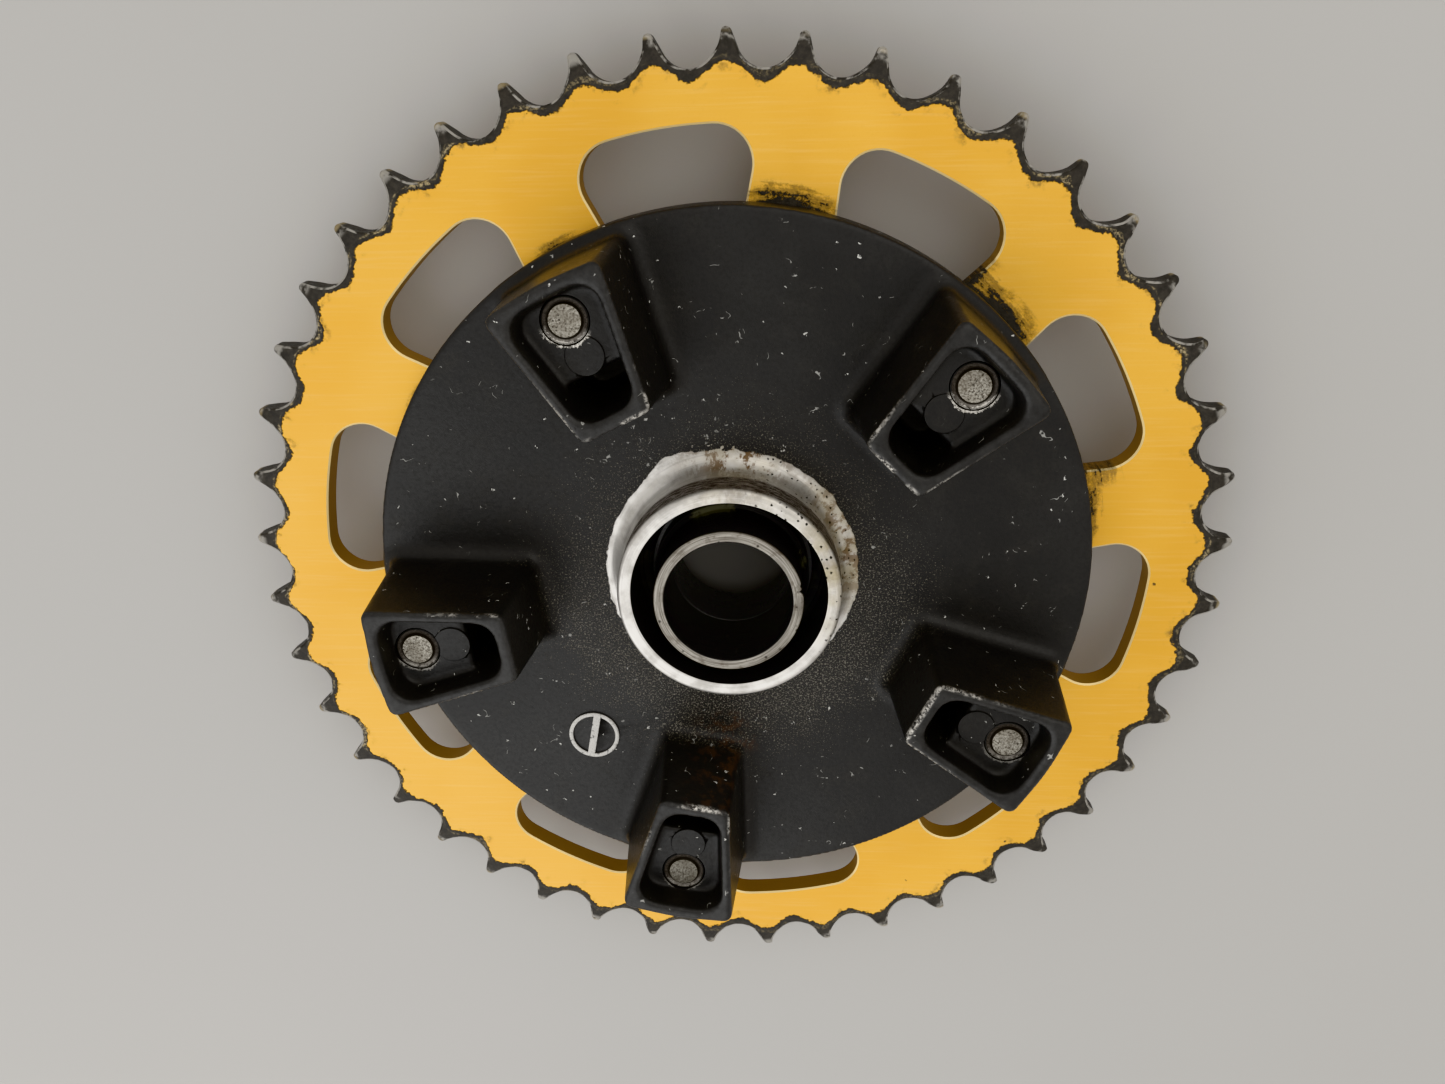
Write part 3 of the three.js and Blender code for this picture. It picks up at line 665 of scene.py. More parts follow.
SMUDGES = (  # angle and half width in degrees, reach from the flange in mm, strength
    (45, 11.0, 6.5, 1.0), (52, 5.0, 10.0, 0.75), (81, 10.5, 5.6, 0.95), (9, 8.5, 5.0, 0.9),
    (14.5, 4.0, 12.0, 0.65), (117, 6.0, 2.6, 0.6), (152, 4.5, 2.4, 0.5), (333, 6.0, 2.8, 0.55),
)


def spoke_grease(look):
    """Black grease squeezed out along the carrier's edge, where it is smeared on the spokes."""
    streak_at = look.joined(look.angle * 11.0, look.radius, 0.0)
    smears = []
    for degrees, half, reach, strength in SMUDGES:
        fall = look.math("DIVIDE", look.radius - FLANGE_RADIUS, reach, clamp=True)
        smears.append((1 - fall) * look.near_angle(degrees, half) * strength)
    out = most(*smears)
    body = (out * 1.15 + look.wobble(1.2, 1.1, 5.0, 0.75)
            + look.wobble(1.2, 0.8, 3.0, 0.6, streak_at) + look.wobble(0.8, 0.14, 2.0))
    thick = body.step(0.42, 0.72)
    thin = body.step(0.05, 0.55) * 0.55
    return most(thick, thin) * out.step(0.02, 0.25)


def dark_specks(look):
    return look.spots(0.11, (0.055, 0.02), (0.62, 0.66), look.warped(1.2, 0.8)) * 0.85


def lug_wear_and_rim_highlights(look):
    """Where the lugs are rubbed, with pale lines on the rims' edges that are partly rubbed paint
    and partly a painted highlight, and bare metal in places.
    """
    turn = look.off_spoke(STUD_COUNT, STUD_ANGLE)
    along, across = look.radius * turn.cos(), look.radius * turn.sin()
    from_side = abs(abs(across) - lug_half(along))
    from_inner = abs(along - (LUG_INNER + 0.3))
    from_outer = abs(along - (LUG_OUTER - 0.6))
    rim = look.height.step(LUG_TOP - 1.5, LUG_TOP - 0.35)
    inner_edge = from_inner.step(0.9, 0.2)
    side_edge = from_side.step(0.8, 0.2) * along.step(66.0, 50.0)
    patch = look.noise(0.1, 3.0).step(0.46, 0.56)
    grain = look.noise(1.1, 4.0, 0.7).step(0.4, 0.58)
    bare = most(inner_edge, side_edge) * rim * patch * grain
    # Pale lines along the rims' edges: partly rubbed paint, partly a painted highlight.
    lines = most(inner_edge, from_side.step(0.7, 0.2), from_outer.step(0.8, 0.2))
    rubbed = rim * look.noise(0.5, 4.0, 0.65).step(0.3, 0.7)
    return most(rubbed * 0.6, rim * lines * grain), bare


def paint_chips(look):
    """Small white chips and short scratches in the paint, thickest above the boss."""
    warped = look.warped(2.2, 1.1)
    thick = look.noise(0.035, 2.0).step(0.4, 0.54)
    few = look.spots(0.45, (0.17, 0.09), (0.8, 0.82), warped) * thick
    many = look.spots(0.75, (0.3, 0.14), (0.7, 0.72), warped)
    cluster = look.near_angle(112, 26) * look.radius.between(31, 40, 4.0)
    lines = abs(look.noise(0.2, 2.0, 0.5) - 0.5).step(0.01, 0.003)
    scratches = lines * look.noise(0.24, 3.0, 0.6).step(0.62, 0.67) * 0.5
    return most(few, many * cluster, scratches)


def sandy_dust(look):
    """Fine pale dust in a wide ring round the boss, thicker on its lower side."""
    south = look.y.step(30.0, -30.0)
    reach = look.radius + look.wobble(22.0, 0.16, 3.0) + south * -9.0
    ring = reach.step(58.0, 27.0)
    flat = look.height.step(FLANGE_TOP + 6.0, FLANGE_TOP + 1.0)
    limit = 0.7 - ring * south.blend(0.135, 0.165)
    speck = (look.noise(2.3, 3.0, 0.8) - limit).step(0.0, 0.06)
    return speck * ring.step(0.0, 0.25) * flat


def bare_border(look):
    """Where the paint has flaked off the casting round the machined boss."""
    rough_part = most(look.near_angle(100, 60), look.near_angle(20, 50))
    ragged = look.wobble(2.0, 0.3, 3.0, 0.55) + look.wobble(0.7, 1.5, 3.0, 0.6) * rough_part
    spikes = look.noise(0.9, 2.0).step(0.58, 0.7) * look.near_angle(98, 18) * 2.6
    wide = look.near_angle(116, 20) * 1.9
    edge = BOSS_RADIUS + BOSS_FILLET + 0.25 + ragged + spikes + wide
    upper = look.height.step(FLANGE_TOP - 1.0, FLANGE_TOP - 0.3)
    return (look.radius - edge).step(0.12, -0.12) * upper


def stains(look):
    """Brown drips and black specks on the bare metal, on the upper and right-hand sides."""
    drip_at = look.joined(look.angle * 11.0, look.radius * 0.3, look.height * 0.16)
    drips = look.noise(1.0, 5.0, 0.7, drip_at).step(0.47, 0.57)
    top = look.near_angle(86, 38)
    right = look.near_angle(16, 56)
    brown = drips * most(top, right * 0.8)
    specks = (look.spots(0.9, (0.32, 0.17), (0.5, 0.54), look.warped(0.8, 1.3))
              * most(look.near_angle(45, 50), look.near_angle(8, 60)).step(0.05, 0.5))
    tint = look.noise(0.2, 3.0).step(0.2, 0.7) * most(right, top * 0.6)
    return brown, specks, tint


def bare_tone(look):
    """The colour and roughness of the machined aluminium of the boss."""
    lathe_at = look.joined(look.radius * 1.5, look.height * 1.5, look.angle * 0.8)
    turning = look.noise(1.0, 4.0, 0.7, lathe_at)
    blotch = look.noise(0.22, 4.0, 0.6)
    brown, specks, tint = stains(look)
    outside = look.radius.step(BOSS_RADIUS - 0.3, BOSS_RADIUS + 0.8)
    wall = (look.height.between(*SCUFF_BAND, 1.2)
            * look.radius.between(BOSS_RADIUS - 1.5, BOSS_RADIUS + 1.4, 0.5))
    fret_at = look.joined(look.angle * 9.0, look.height * 1.3, 0.0)
    fret = look.noise(1.0, 5.0, 0.75, fret_at).step(0.4, 0.6)
    scuffed = wall * fret.blend(0.62, 1.0)
    scuff_tone = fret.mix(SCUFF, SCUFF_DARK)
    rough = 0.3 + blotch * 0.16 + scuffed * 0.2 + brown * 0.2
    height = turning * 0.5 + scuffed * fret * 1.2
    colour = coated(
        blotch.step(0.38, 0.72).mix(BARE, BARE_DULL),
        (turning.step(0.5, 0.7) * 0.5, BARE_BRIGHT),
        (turning.step(0.44, 0.3) * 0.5, BARE_DARK),
        (tint * 0.85, BARE_TINT),
        (brown * outside.blend(0.15, 0.9), DRIP),
        (scuffed, scuff_tone),
        (specks, GRIME),
    )
    return colour, rough, height


def from_stud(look):
    """Distance from the nearest stud's axis, and how far a point lies on its lower side."""
    spoke = look.angle - look.off_spoke(STUD_COUNT, STUD_ANGLE)
    off_y = look.y - spoke.sin() * STUD_CIRCLE
    reach = length(look.x - spoke.cos() * STUD_CIRCLE, off_y)
    return reach, off_y * -1.0 / most(reach, 0.1)


def stud_scrapes(look):
    """Bright burrs where the stud's end was upset against the hole, on its lower side."""
    reach, lower = from_stud(look)
    ragged = look.wobble(2.6, 0.8, 4.0, 0.7)
    ring = (reach + ragged).between(STUD_RIM, STUD_HOLE + 0.35, 0.2)
    side = (lower + look.noise(0.12, 2.0) * 1.5).step(0.95, 1.5)
    strong = look.y.step(-20.0, 0.0).blend(0.3, 1.0)
    grain = look.noise(1.5, 5.0, 0.75).step(0.32, 0.5)
    low = look.height.between(POCKET_FLOOR - 0.6, STUD_TOP, 0.3)
    return ring * side * strong * grain * low


def clock_wear(look):
    """Where the raised casting clock is rubbed down to the metal."""
    reach = length(look.x - CLOCK_AT[0], look.y - CLOCK_AT[1])
    near = reach.step(CLOCK_OUTER + 1, CLOCK_OUTER + 0.2)
    high = look.height.step(FLANGE_TOP + CLOCK_HEIGHT * 0.55, FLANGE_TOP + CLOCK_HEIGHT * 0.9)
    return near * high * look.noise(0.9, 4.0, 0.65).step(0.28, 0.44)


def paint_look():
    """Satin black paint on cast aluminium, dusty, chipped and rubbed on the lugs' rims, with pale
    lines on the rims' edges that are partly a painted highlight.
    """
    look = Look("black_paint_cast")
    broad = look.noise(0.045, 2.0)
    cast = look.noise(0.75, 4.0, 0.6)
    skin = look.noise(3.2, 3.0, 0.6)
    film = look.noise(0.12, 5.0, 0.7).step(0.45, 0.75) * 0.3
    mottle = look.noise(1.1, 4.0, 0.7).step(0.4, 0.7)
    rust_at = (look.noise(0.35, 4.0, 0.7).step(0.48, 0.62) * look.near_angle(269, 16)
               * look.radius.between(40, 46, 4.0))
    dust = sandy_dust(look)
    # rubbed holds the lugs' rubbed tops and the pale rim edge lines, which are partly a painted
    # highlight.
    rubbed, bare = lug_wear_and_rim_highlights(look)
    chips = paint_chips(look)
    scraped = clock_wear(look)
    scrapes = stud_scrapes(look)
    worn = most(bare, scrapes)
    metal_colour, metal_rough, _ = bare_tone(look)
    border = bare_border(look)
    metal = most(worn, border, scraped)
    rough = 0.31 + broad * 0.08 + film * 0.3 + dust * 0.4 + mottle * 0.08
    rough = metal.blend(rough, metal_rough)
    height = cast * 0.6 + skin * 0.22 + dust * 0.3 + most(chips, border, worn) * -0.9
    colour = coated(
        broad.step(0.3, 0.7).mix(PAINT, PAINT_PALE),
        (film, PAINT_FILM),
        (mottle * 0.35, PAINT_DEEP),
        (rust_at * 0.6, PAINT_RUST),
        (dust * 0.8, DUST),
        (rubbed * 0.55, RUBBED_AND_RIM_HIGHLIGHT),
        (chips, CHIP),
        (worn, SCRAPED),
        (scraped * 0.9, CLOCK_METAL),
        (border, metal_colour),
    )
    return look.finish(colour, rough, metal * 0.7, height, 0.12, 0.44)


def machined_look():
    """Bare turned aluminium: bright on the boss, oily black in its bore and the stud holes."""
    look = Look("bare_aluminium_turned")
    colour, rough, height = bare_tone(look)
    bore = (look.radius.step(BOSS_BORE + 0.22, BOSS_BORE + 0.08)
            * look.height.step(BEARING_TOP - 1, BEARING_TOP))
    seat = (look.radius.step(BEARING_SEAT + 1.2, BEARING_SEAT + 0.9)
            * look.height.step(BEARING_TOP + 0.3, BEARING_TOP + 0.1))
    holes = look.radius.step(60.0, 61.0) * look.height.step(0.2, 0.6)
    oily = most(bore, holes, seat * look.height.step(DUST_TOP, DUST_TOP + 1))
    under = look.height.step(1.0, 0.0)
    rough = oily.blend(rough, 0.18)
    colour = coated(
        colour,
        (oily * 0.97, OIL),
        (under * 0.55, BARE_UNDER),
    )
    return look.finish(colour, rough, oily.blend(0.7, 0.0), height, 0.05)


def stud_look():
    """Dulled zinc on the studs, mottled on the cut end, with painted shade in the groove round the
    end face.
    """
    look = Look("zinc_stud")
    reach, lower = from_stud(look)
    mottle = look.noise(2.2, 5.0, 0.75)
    broad = look.noise(0.3, 3.0)
    pits = look.spots(1.6, (0.34, 0.18), (0.62, 0.66), look.warped(0.7, 1.0))
    top = look.height.step(STUD_TOP - 3.0, STUD_TOP - 2.0)
    bevel = reach.step(STUD_FACE + 0.02, STUD_FACE + 0.14) * top
    # The groove between the end face and the rim is painted near black: painted shade in the
    # groove.
    groove = reach.step(STUD_GROOVE + 0.1, STUD_GROOVE - 0.1) * bevel
    lit = lower.step(0.2, 0.9) * look.noise(0.4, 4.0, 0.7).step(0.35, 0.6) * 0.7
    rim = reach.step(STUD_RIM - 0.05, STUD_RIM + 0.1)
    bevel_tone = coated(
        mottle.step(0.4, 0.65).mix(BEVEL_DARK, BEVEL_PALE),
        (lit, BEVEL_LIT),
        (rim, RIM_BLACK),
    )
    scraped = stud_scrapes(look) * top
    rough = 0.36 + mottle * 0.3
    metallic = bevel.blend(0.65, scraped.blend(0.15, 0.7))
    colour = coated(
        mottle.step(0.36, 0.62).mix(ZINC_DARK, ZINC_PALE),
        (broad.step(0.45, 0.6) * 0.45, ZINC_BROWN),
        (pits * 0.7, ZINC_PIT),
        (look.near_angle(260, 40) * 0.45, ZINC_GREASE),
        (bevel, bevel_tone),
        (groove, GROOVE_SHADE),
        (scraped, SCRAPED),
    )
    return look.finish(colour, rough, metallic, mottle + pits * -0.8, 0.09)


def nut_look():
    """Zinc-plated flange nuts with a little road dirt."""
    look = Look("zinc_nut")
    mottle = look.noise(0.5, 5.0, 0.65)
    dirt = look.noise(0.9, 5.0, 0.7).step(0.58, 0.7)
    rough = 0.3 + mottle * 0.25 + dirt * 0.2
    colour = coated(
        mottle.step(0.35, 0.7).mix(NUT_ZINC, NUT_DULL),
        (dirt * 0.7, NUT_DIRT),
    )
    return look.finish(colour, rough, dirt.blend(0.9, 0.2), mottle + dirt, 0.05)


def sleeve_look():
    """Grey-brown turned steel: scratched on the end, black with old oil on its walls."""
    look = Look("browned_steel_sleeve")
    lathe_at = look.joined(look.radius * 4.0, look.height * 4.0, look.angle * 1.6)
    turning = look.noise(1.0, 4.0, 0.7, lathe_at)
    blotch = look.noise(0.4, 5.0, 0.65)
    spots = look.spots(0.6, (0.26, 0.12), (0.74, 0.78))
    inside = look.radius.step(SLEEVE_BORE + 0.32, SLEEVE_BORE + 0.12)
    outside = (look.radius.step(SLEEVE_BORE + 0.8, SLEEVE_BORE + 1.2)
               * look.height.step(SLEEVE_TOP - 0.25, SLEEVE_TOP - 0.6))
    oily = most(inside, outside)
    scratch_at = look.joined(look.angle * 9.0, look.height * 0.35, look.radius)
    scratches = look.noise(1.4, 4.0, 0.6, scratch_at).step(0.6, 0.68)
    grease_at = most(look.near_angle(103, 34) * look.height.step(14.6, 11.6) * 1.25,
                          look.near_angle(14, 22) * look.height.between(9.0, 13.0, 2.0) * 0.62)
    ragged = look.wobble(1.4, 0.5, 4.0, 0.6)
    grease = (grease_at + ragged).step(0.5, 0.85) * outside * grease_at.step(0.02, 0.15)
    collar = (look.radius.step(COLLAR_RADIUS - 0.35, COLLAR_RADIUS - 0.1)
              * look.height.between(COLLAR_TOP - 0.7, COLLAR_TOP + 0.2, 0.2))
    rough = oily.blend(0.33 + blotch * 0.2, 0.22)
    height = turning + spots * -0.8 + grease * 2.0
    colour = coated(
        turning.step(0.35, 0.68).mix(SLEEVE_DARK, SLEEVE_PALE),
        (blotch.step(0.52, 0.66) * 0.6, SLEEVE_STAIN),
        (spots * 0.85, SLEEVE_SPOT),
        (oily * 0.97, OIL),
        (inside * scratches * 0.12, SLEEVE_SCRATCH),
        (grease * 0.9, SLEEVE_GREASE),
        (collar * 0.35, COLLAR_SHEEN),
    )
    return look.finish(colour, rough, oily.blend(0.75, 0.1), height, 0.05)


def ring_look():
    """Ground steel of the bearing's rings, with fine turning lines and finger marks."""
    look = Look("ground_bearing_steel")
    lathe_at = look.joined(look.radius * 6.0, look.height * 6.0, look.angle)
    turning = look.noise(1.0, 3.0, 0.6, lathe_at)
    marks = look.noise(0.18, 4.0, 0.6)
    bore = look.radius.step(BEARING_BORE + 0.5, BEARING_BORE + 0.2)
    film = (look.height.step(BEARING_TOP - 0.6, BEARING_TOP - 0.2)
            * look.radius.step(INNER_LAND + 2.0, INNER_LAND + 1.0))
    oily = most(bore, film)
    rough = 0.18 + marks * 0.2
    colour = coated(
        turning.step(0.3, 0.7).mix(GROUND_STEEL, GROUND_BRIGHT),
        (marks.step(0.5, 0.75) * 0.4, FINGER_MARK),
        (oily * 0.86, OIL),
    )
    return look.finish(colour, rough, oily.blend(0.95, 0.15), turning, 0.012)


def ball_look():
    look = Look("polished_ball_steel")
    film = look.noise(0.7, 3.0)
    colour = film.step(0.4, 0.7).mix(BALL_STEEL, BALL_FILM)
    return look.finish(colour, 0.07 + film * 0.12, 1.0, film, 0.003)


def cage_look():
    """Moulded brown polyamide with pale glass-fibre flecks."""
    look = Look("moulded_polyamide")
    fibres = look.noise(3.0, 3.0, 0.6, look.stretched(1.0, 3.0, 1.0))
    blotch = look.noise(0.3, 3.0)
    colour = coated(
        blotch.step(0.3, 0.7).mix(POLYAMIDE, POLYAMIDE_PALE),
        (fibres.step(0.62, 0.72) * 0.3, FIBRE),
    )
    return look.finish(colour, 0.45 + fibres * 0.2, 0.0, fibres, 0.03)


def rubber_look():
    """Matt black nitrile rubber with a grey bloom and a film of grease."""
    look = Look("nitrile_rubber")
    bloom = look.noise(0.25, 5.0, 0.65)
    grain = look.noise(4.0, 3.0, 0.6)
    rough = 0.42 + bloom * 0.3
    colour = bloom.step(0.45, 0.75).mix(RUBBER, RUBBER_BLOOM)
    return look.finish(colour, rough, 0.0, grain, 0.03)


def seal_case_look():
    """Pressed steel of the dust seal's case, oily and spotted with rust."""
    look = Look("pressed_steel_case")
    blotch = look.noise(0.35, 5.0, 0.65)
    rust = look.noise(0.8, 5.0, 0.7).step(0.6, 0.7)
    rough = 0.32 + blotch * 0.25 + rust * 0.25
    colour = coated(
        blotch.step(0.4, 0.65).mix(CASE_STEEL, CASE_DULL),
        (rust * 0.75, RUST),
    )
    return look.finish(colour, rough, rust.blend(0.9, 0.2), blotch, 0.04)


# ---- sprocket ----

ARC_STEPS = 8
FLANK_STEPS = 4
TIP_STEPS = 8
WEAR_AT = 113.3
WEAR_REACH = 1.9
TOOTH_RING_RADIUS = 102.0
TOOTH_ROWS = (0.0, 0.24, 0.44, 0.60, 0.71, 0.79, 0.86, 0.92, 0.965, 1.0)
EDGE_IN = 0.42
EDGE_DOWN = 0.34


def tooth_pitch(index):
    """One pitch of the rim, with the chain's wear on the tooth's leading flank."""
    short = 0.02 + 0.12 * rng.random()
    worn = 0.42 + 0.22 * rng.random()
    gullet = ROOT_RADIUS + GULLET_RADIUS
    sweep = math.pi / 2 - FLANK_LEAN - HALF_PITCH
    side = math.pi - HALF_PITCH
    x, y = gullet * math.cos(HALF_PITCH), gullet * math.sin(HALF_PITCH)
    left = arc(x, -y, GULLET_RADIUS, side, side - sweep, ARC_STEPS)
    tip_at = TIP_RADIUS - TIP_ROUND - short
    lean = math.pi / 2 - FLANK_LEAN
    tip = arc(tip_at, 0.0, TIP_ROUND, -lean, lean, TIP_STEPS)
    right = left[::-1] * (1, -1)
    share = np.linspace(0, 1, FLANK_STEPS + 2)[1:-1, None]
    up = left[-1] * (1 - share) + tip[0] * share
    down = tip[-1] * (1 - share) + right[0] * share
    points = np.concatenate([left, up, tip, down, right[:-1]])
    scallop = np.exp(-((points[:, 0] - WEAR_AT) / WEAR_REACH) ** 2)
    leading = np.clip(points[:, 1] / TIP_ROUND, 0, 1)
    points[:, 1] -= worn * scallop * leading
    return turned_by(points, math.pi / 2 + index * 2 * HALF_PITCH)


def relief(points):
    """How far the plate's faces are thinned towards the tooth tips."""
    over = np.clip(np.hypot(points[:, 0], points[:, 1]) - RELIEF_START, 0, None)
    return RELIEF_SLOPE * np.where(over < 1, over ** 2 / 2, over - 0.5)


def plate_stack(points, extra):
    """Rows that go down through the plate along an edge with a small bevel on both faces."""
    down = relief(points) + EDGE_DOWN
    mirrored = [row * (1, 1, -1) - (0, 0, THICKNESS) for row in reversed(extra)]
    return [*extra, level(points, -down), level(points, down - THICKNESS), *mirrored]


def tooth_ring():
    """Rows of the toothed rim, and the plain circle that they start from."""
    rim = np.concatenate([tooth_pitch(i) for i in range(TOOTH_COUNT)])
    inset = rim - outward(rim) * EDGE_IN
    columns = len(rim) // TOOTH_COUNT
    angles = math.pi / 2 - HALF_PITCH + np.arange(len(rim)) * 2 * HALF_PITCH / columns
    base = on_circle(TOOTH_RING_RADIUS, angles)
    flats = [base * (1 - share) + inset * share for share in TOOTH_ROWS]
    return plate_stack(rim, [level(flat, -relief(flat)) for flat in flats]), base


def window_outline(index):
    inner = WINDOW_HALF + (WINDOW_INNER - WINDOW_HALF_AT) * WINDOW_SLOPE
    end = WINDOW_OUTER - WINDOW_CROWN
    outer = WINDOW_HALF + (end - WINDOW_HALF_AT) * WINDOW_SLOPE
    corners = [
        (WINDOW_INNER, -inner, 5.0), (end, -outer, 8.0), (WINDOW_OUTER, 0.0, WINDOW_OUTER),
        (end, outer, 8.0), (WINDOW_INNER, inner, 5.0),
    ]
    angle = STUD_ANGLE - math.pi / WINDOW_COUNT + index * TURN / WINDOW_COUNT
    return turned_by(rounded(corners, 12), angle)


def plate_holes():
    """The outline of every hole of the plate."""
    holes = [window_outline(i) for i in range(WINDOW_COUNT)]
    studs_at = [spoke_point(i, STUD_CIRCLE) for i in range(STUD_COUNT)]
    holes += [arc(*at, PLATE_HOLE, 0, TURN, 40)[:-1] for at in studs_at]
    return [*holes, arc(0, 0, SPROCKET_BORE, 0, TURN, 180)[:-1]]


def flat_plate(outer, loops):
    """Triangles of the flat part of the plate between its rim and its holes."""
    chains = [outer, *loops]
    points = np.concatenate(chains)
    edges, start = [], 0
    for chain in chains:
        count = len(chain)
        edges += [(start + i, start + (i + 1) % count) for i in range(count)]
        start += count
    result = geometry.delaunay_2d_cdt([Vector(p) for p in points], edges, [], 0, 1e-7)
    flat = np.array([tuple(p) for p in result[0]])
    faces = np.array([tuple(f) for f in result[2]])
    middles = flat[faces].mean(1)
    keep = polygon_distance(*middles.T, outer) < 0
    for loop in loops:
        keep &= polygon_distance(*middles.T, loop) > 0
    return flat, faces[keep]


def sprocket():
    stack, base = tooth_ring()
    parts = [(np.concatenate(stack), rows_to_faces(stack, False))]
    loops = []
    for outline in plate_holes():
        wide = outline + outward(outline) * EDGE_IN
        loops.append(wide)
        rows = plate_stack(outline, [level(wide, 0.0)])
        parts.append((np.concatenate(rows), rows_to_faces(rows, False)))
    flat, triangles = flat_plate(base, loops)
    parts += [(level(flat, height), triangles.tolist()) for height in (0.0, -THICKNESS)]
    points, faces = [], []
    for part_points, part_faces in parts:
        start = len(points)
        points.extend(part_points)
        faces += [tuple(start + v for v in face) for face in part_faces]
    obj = raw_object("sprocket_plate", points, faces)
    smooth(obj, 24)
    settle(obj, "carrier_assembly", "sprocket_ring", gold_look())


# ---- carrier: a cast body from signed distances, then machined by cutters ----

CELL = 0.6
KEEP_SHARE = 0.30
CAST_EXTRA = 0.8  # metal left on for the machined faces
FOOT_BLEND = 3.6
LUG_BOX_AT = 64.0  # the part of the grid that each lug changes
LUG_BOX_HALF = 30.0
CUTTER_SEGMENTS = 180
PIN_SEGMENTS = 40
CLOCK_ROOT = 0.6
CLOCK_EASE = 0.14
RIM_BLEND = 0.45


def soft_min(a, b, size):
    near = np.clip(size - np.abs(a - b), 0, None) / size
    return np.minimum(a, b) - near * near * size / 4


def soft_max(a, b, size):
    return -soft_min(-a, -b, size)


def cast_profile():
    """Half section of the raw casting, with metal left on where it is machined."""
    more = CAST_EXTRA
    return np.array([
        (BOSS_BORE - more, HUB_END - more),
        (BOSS_BORE - more, BOSS_TOP + more),
        (BOSS_RADIUS + more, BOSS_TOP + more), (BOSS_RADIUS + more, FLANGE_TOP + 2.2),
        (BOSS_RADIUS + more + 1.2, FLANGE_TOP + 0.7), (BOSS_RADIUS + more + 2.9, FLANGE_TOP),
        (FLANGE_RADIUS, FLANGE_TOP),
        (FLANGE_RADIUS, -more),
        (PILOT_RADIUS + more, -more),
        (PILOT_RADIUS + more, -PILOT_DEPTH - more),
        (RECESS_OUTER, -PILOT_DEPTH - more),
        (RECESS_OUTER, RECESS_ROOF),
        (RECESS_INNER, RECESS_ROOF),
        (HUB_RADIUS, HUB_END - more),
    ])


def lug_outline(side, end, corner, crown):
    inner, edge = LUG_INNER + end, LUG_OUTER - end
    shoulder = edge - crown
    width = [lug_half(u) - side for u in (inner, shoulder)]
    return rounded([
        (inner, -width[0], corner),
        (shoulder, -width[1], corner), (edge, 0.0, 0.35 * width[1] ** 2 / crown),
        (shoulder, width[1], corner),
        (inner, width[0], corner),
    ], 4)


def lug_distance(u, v, z):
    """Distance to a drafted lug, and to the hollow inside it."""
    depth = np.clip((LUG_TOP - z) / (LUG_TOP - FLANGE_TOP), 0, None)
    along = 1 + LUG_SPREAD_ALONG * depth
    across = 1 + LUG_SPREAD_ACROSS * depth
    outline = lug_outline(0, 0, LUG_CORNER, LUG_CROWN)
    sides = polygon_distance(LUG_CENTRE + (u - LUG_CENTRE) / along, v / across, outline)
    block = soft_max(sides, z - LUG_TOP, RIM_BLEND)
    shrink = np.interp(z, [WELL_FLOOR, POCKET_FLOOR, LUG_TOP + 1],
                       [1 - WELL_SHRINK, 1 - POCKET_SHRINK, 1.0])
    middle = (LUG_INNER + LUG_OUTER) / 2
    mouth = lug_outline(POCKET_LAND, POCKET_END_LAND, POCKET_CORNER, POCKET_CROWN)
    walls = polygon_distance(middle + (u - middle) / shrink, v / shrink, mouth)
    floor = POCKET_FLOOR - z
    well = soft_max(u - WELL_OUTER, WELL_FLOOR - z, 1.0)
    return block, soft_max(walls, soft_min(floor, well, 0.5), 1.2)


def carve_lugs(field, xs, zs):
    """Add the five lugs to the field and carve their hollows."""
    from_z = int(np.searchsorted(zs, FLANGE_TOP - 2.5))
    for i in range(STUD_COUNT):
        angle = spoke_angle(i)
        cx, cy = spoke_point(i, LUG_BOX_AT)
        i0, i1 = np.searchsorted(xs, [cx - LUG_BOX_HALF, cx + LUG_BOX_HALF])
        j0, j1 = np.searchsorted(xs, [cy - LUG_BOX_HALF, cy + LUG_BOX_HALF])
        x, y, z = np.meshgrid(xs[i0:i1], xs[j0:j1], zs[from_z:], indexing="ij")
        u = x * math.cos(angle) + y * math.sin(angle)
        v = y * math.cos(angle) - x * math.sin(angle)
        block, hollow = lug_distance(u, v, z)
        window = (slice(i0, i1), slice(j0, j1), slice(from_z, None))
        joined = soft_min(field[window], np.maximum(block, FLANGE_TOP - 2.0 - z), FOOT_BLEND)
        field[window] = soft_max(joined, -hollow, RIM_BLEND)


def add_ribs(field, xs, zs):
    """The ribs across the recess on the chain side."""
    x, y = np.meshgrid(xs, xs, indexing="ij")
    angle = np.arctan2(y, x) - STUD_ANGLE
    pitch = TURN / RIB_COUNT
    local = (angle + pitch / 2) % pitch - pitch / 2
    radius = np.hypot(x, y)
    across = np.abs(radius * np.sin(local)) - RIB_HALF
    along = np.abs(radius * np.cos(local) - (RECESS_OUTER + RECESS_INNER) / 2)
    along -= (RECESS_OUTER - RECESS_INNER) / 2 + 1.5
    plan = np.maximum(across, along)
    levels = int(np.searchsorted(zs, RECESS_ROOF + 2))
    for k in range(levels):
        slab = max(0.6 - PILOT_DEPTH - zs[k], zs[k] - RECESS_ROOF - 1.5)
        field[:, :, k] = soft_min(field[:, :, k], np.maximum(plan, slab), 1.6)


def blurred(field):
    """One pass of a small smoothing over the grid, which rounds the edges of the casting."""
    for axis in range(3):
        before = np.roll(field, 1, axis)
        after = np.roll(field, -1, axis)
        field = field * 0.7 + (before + after) * 0.15
    return field


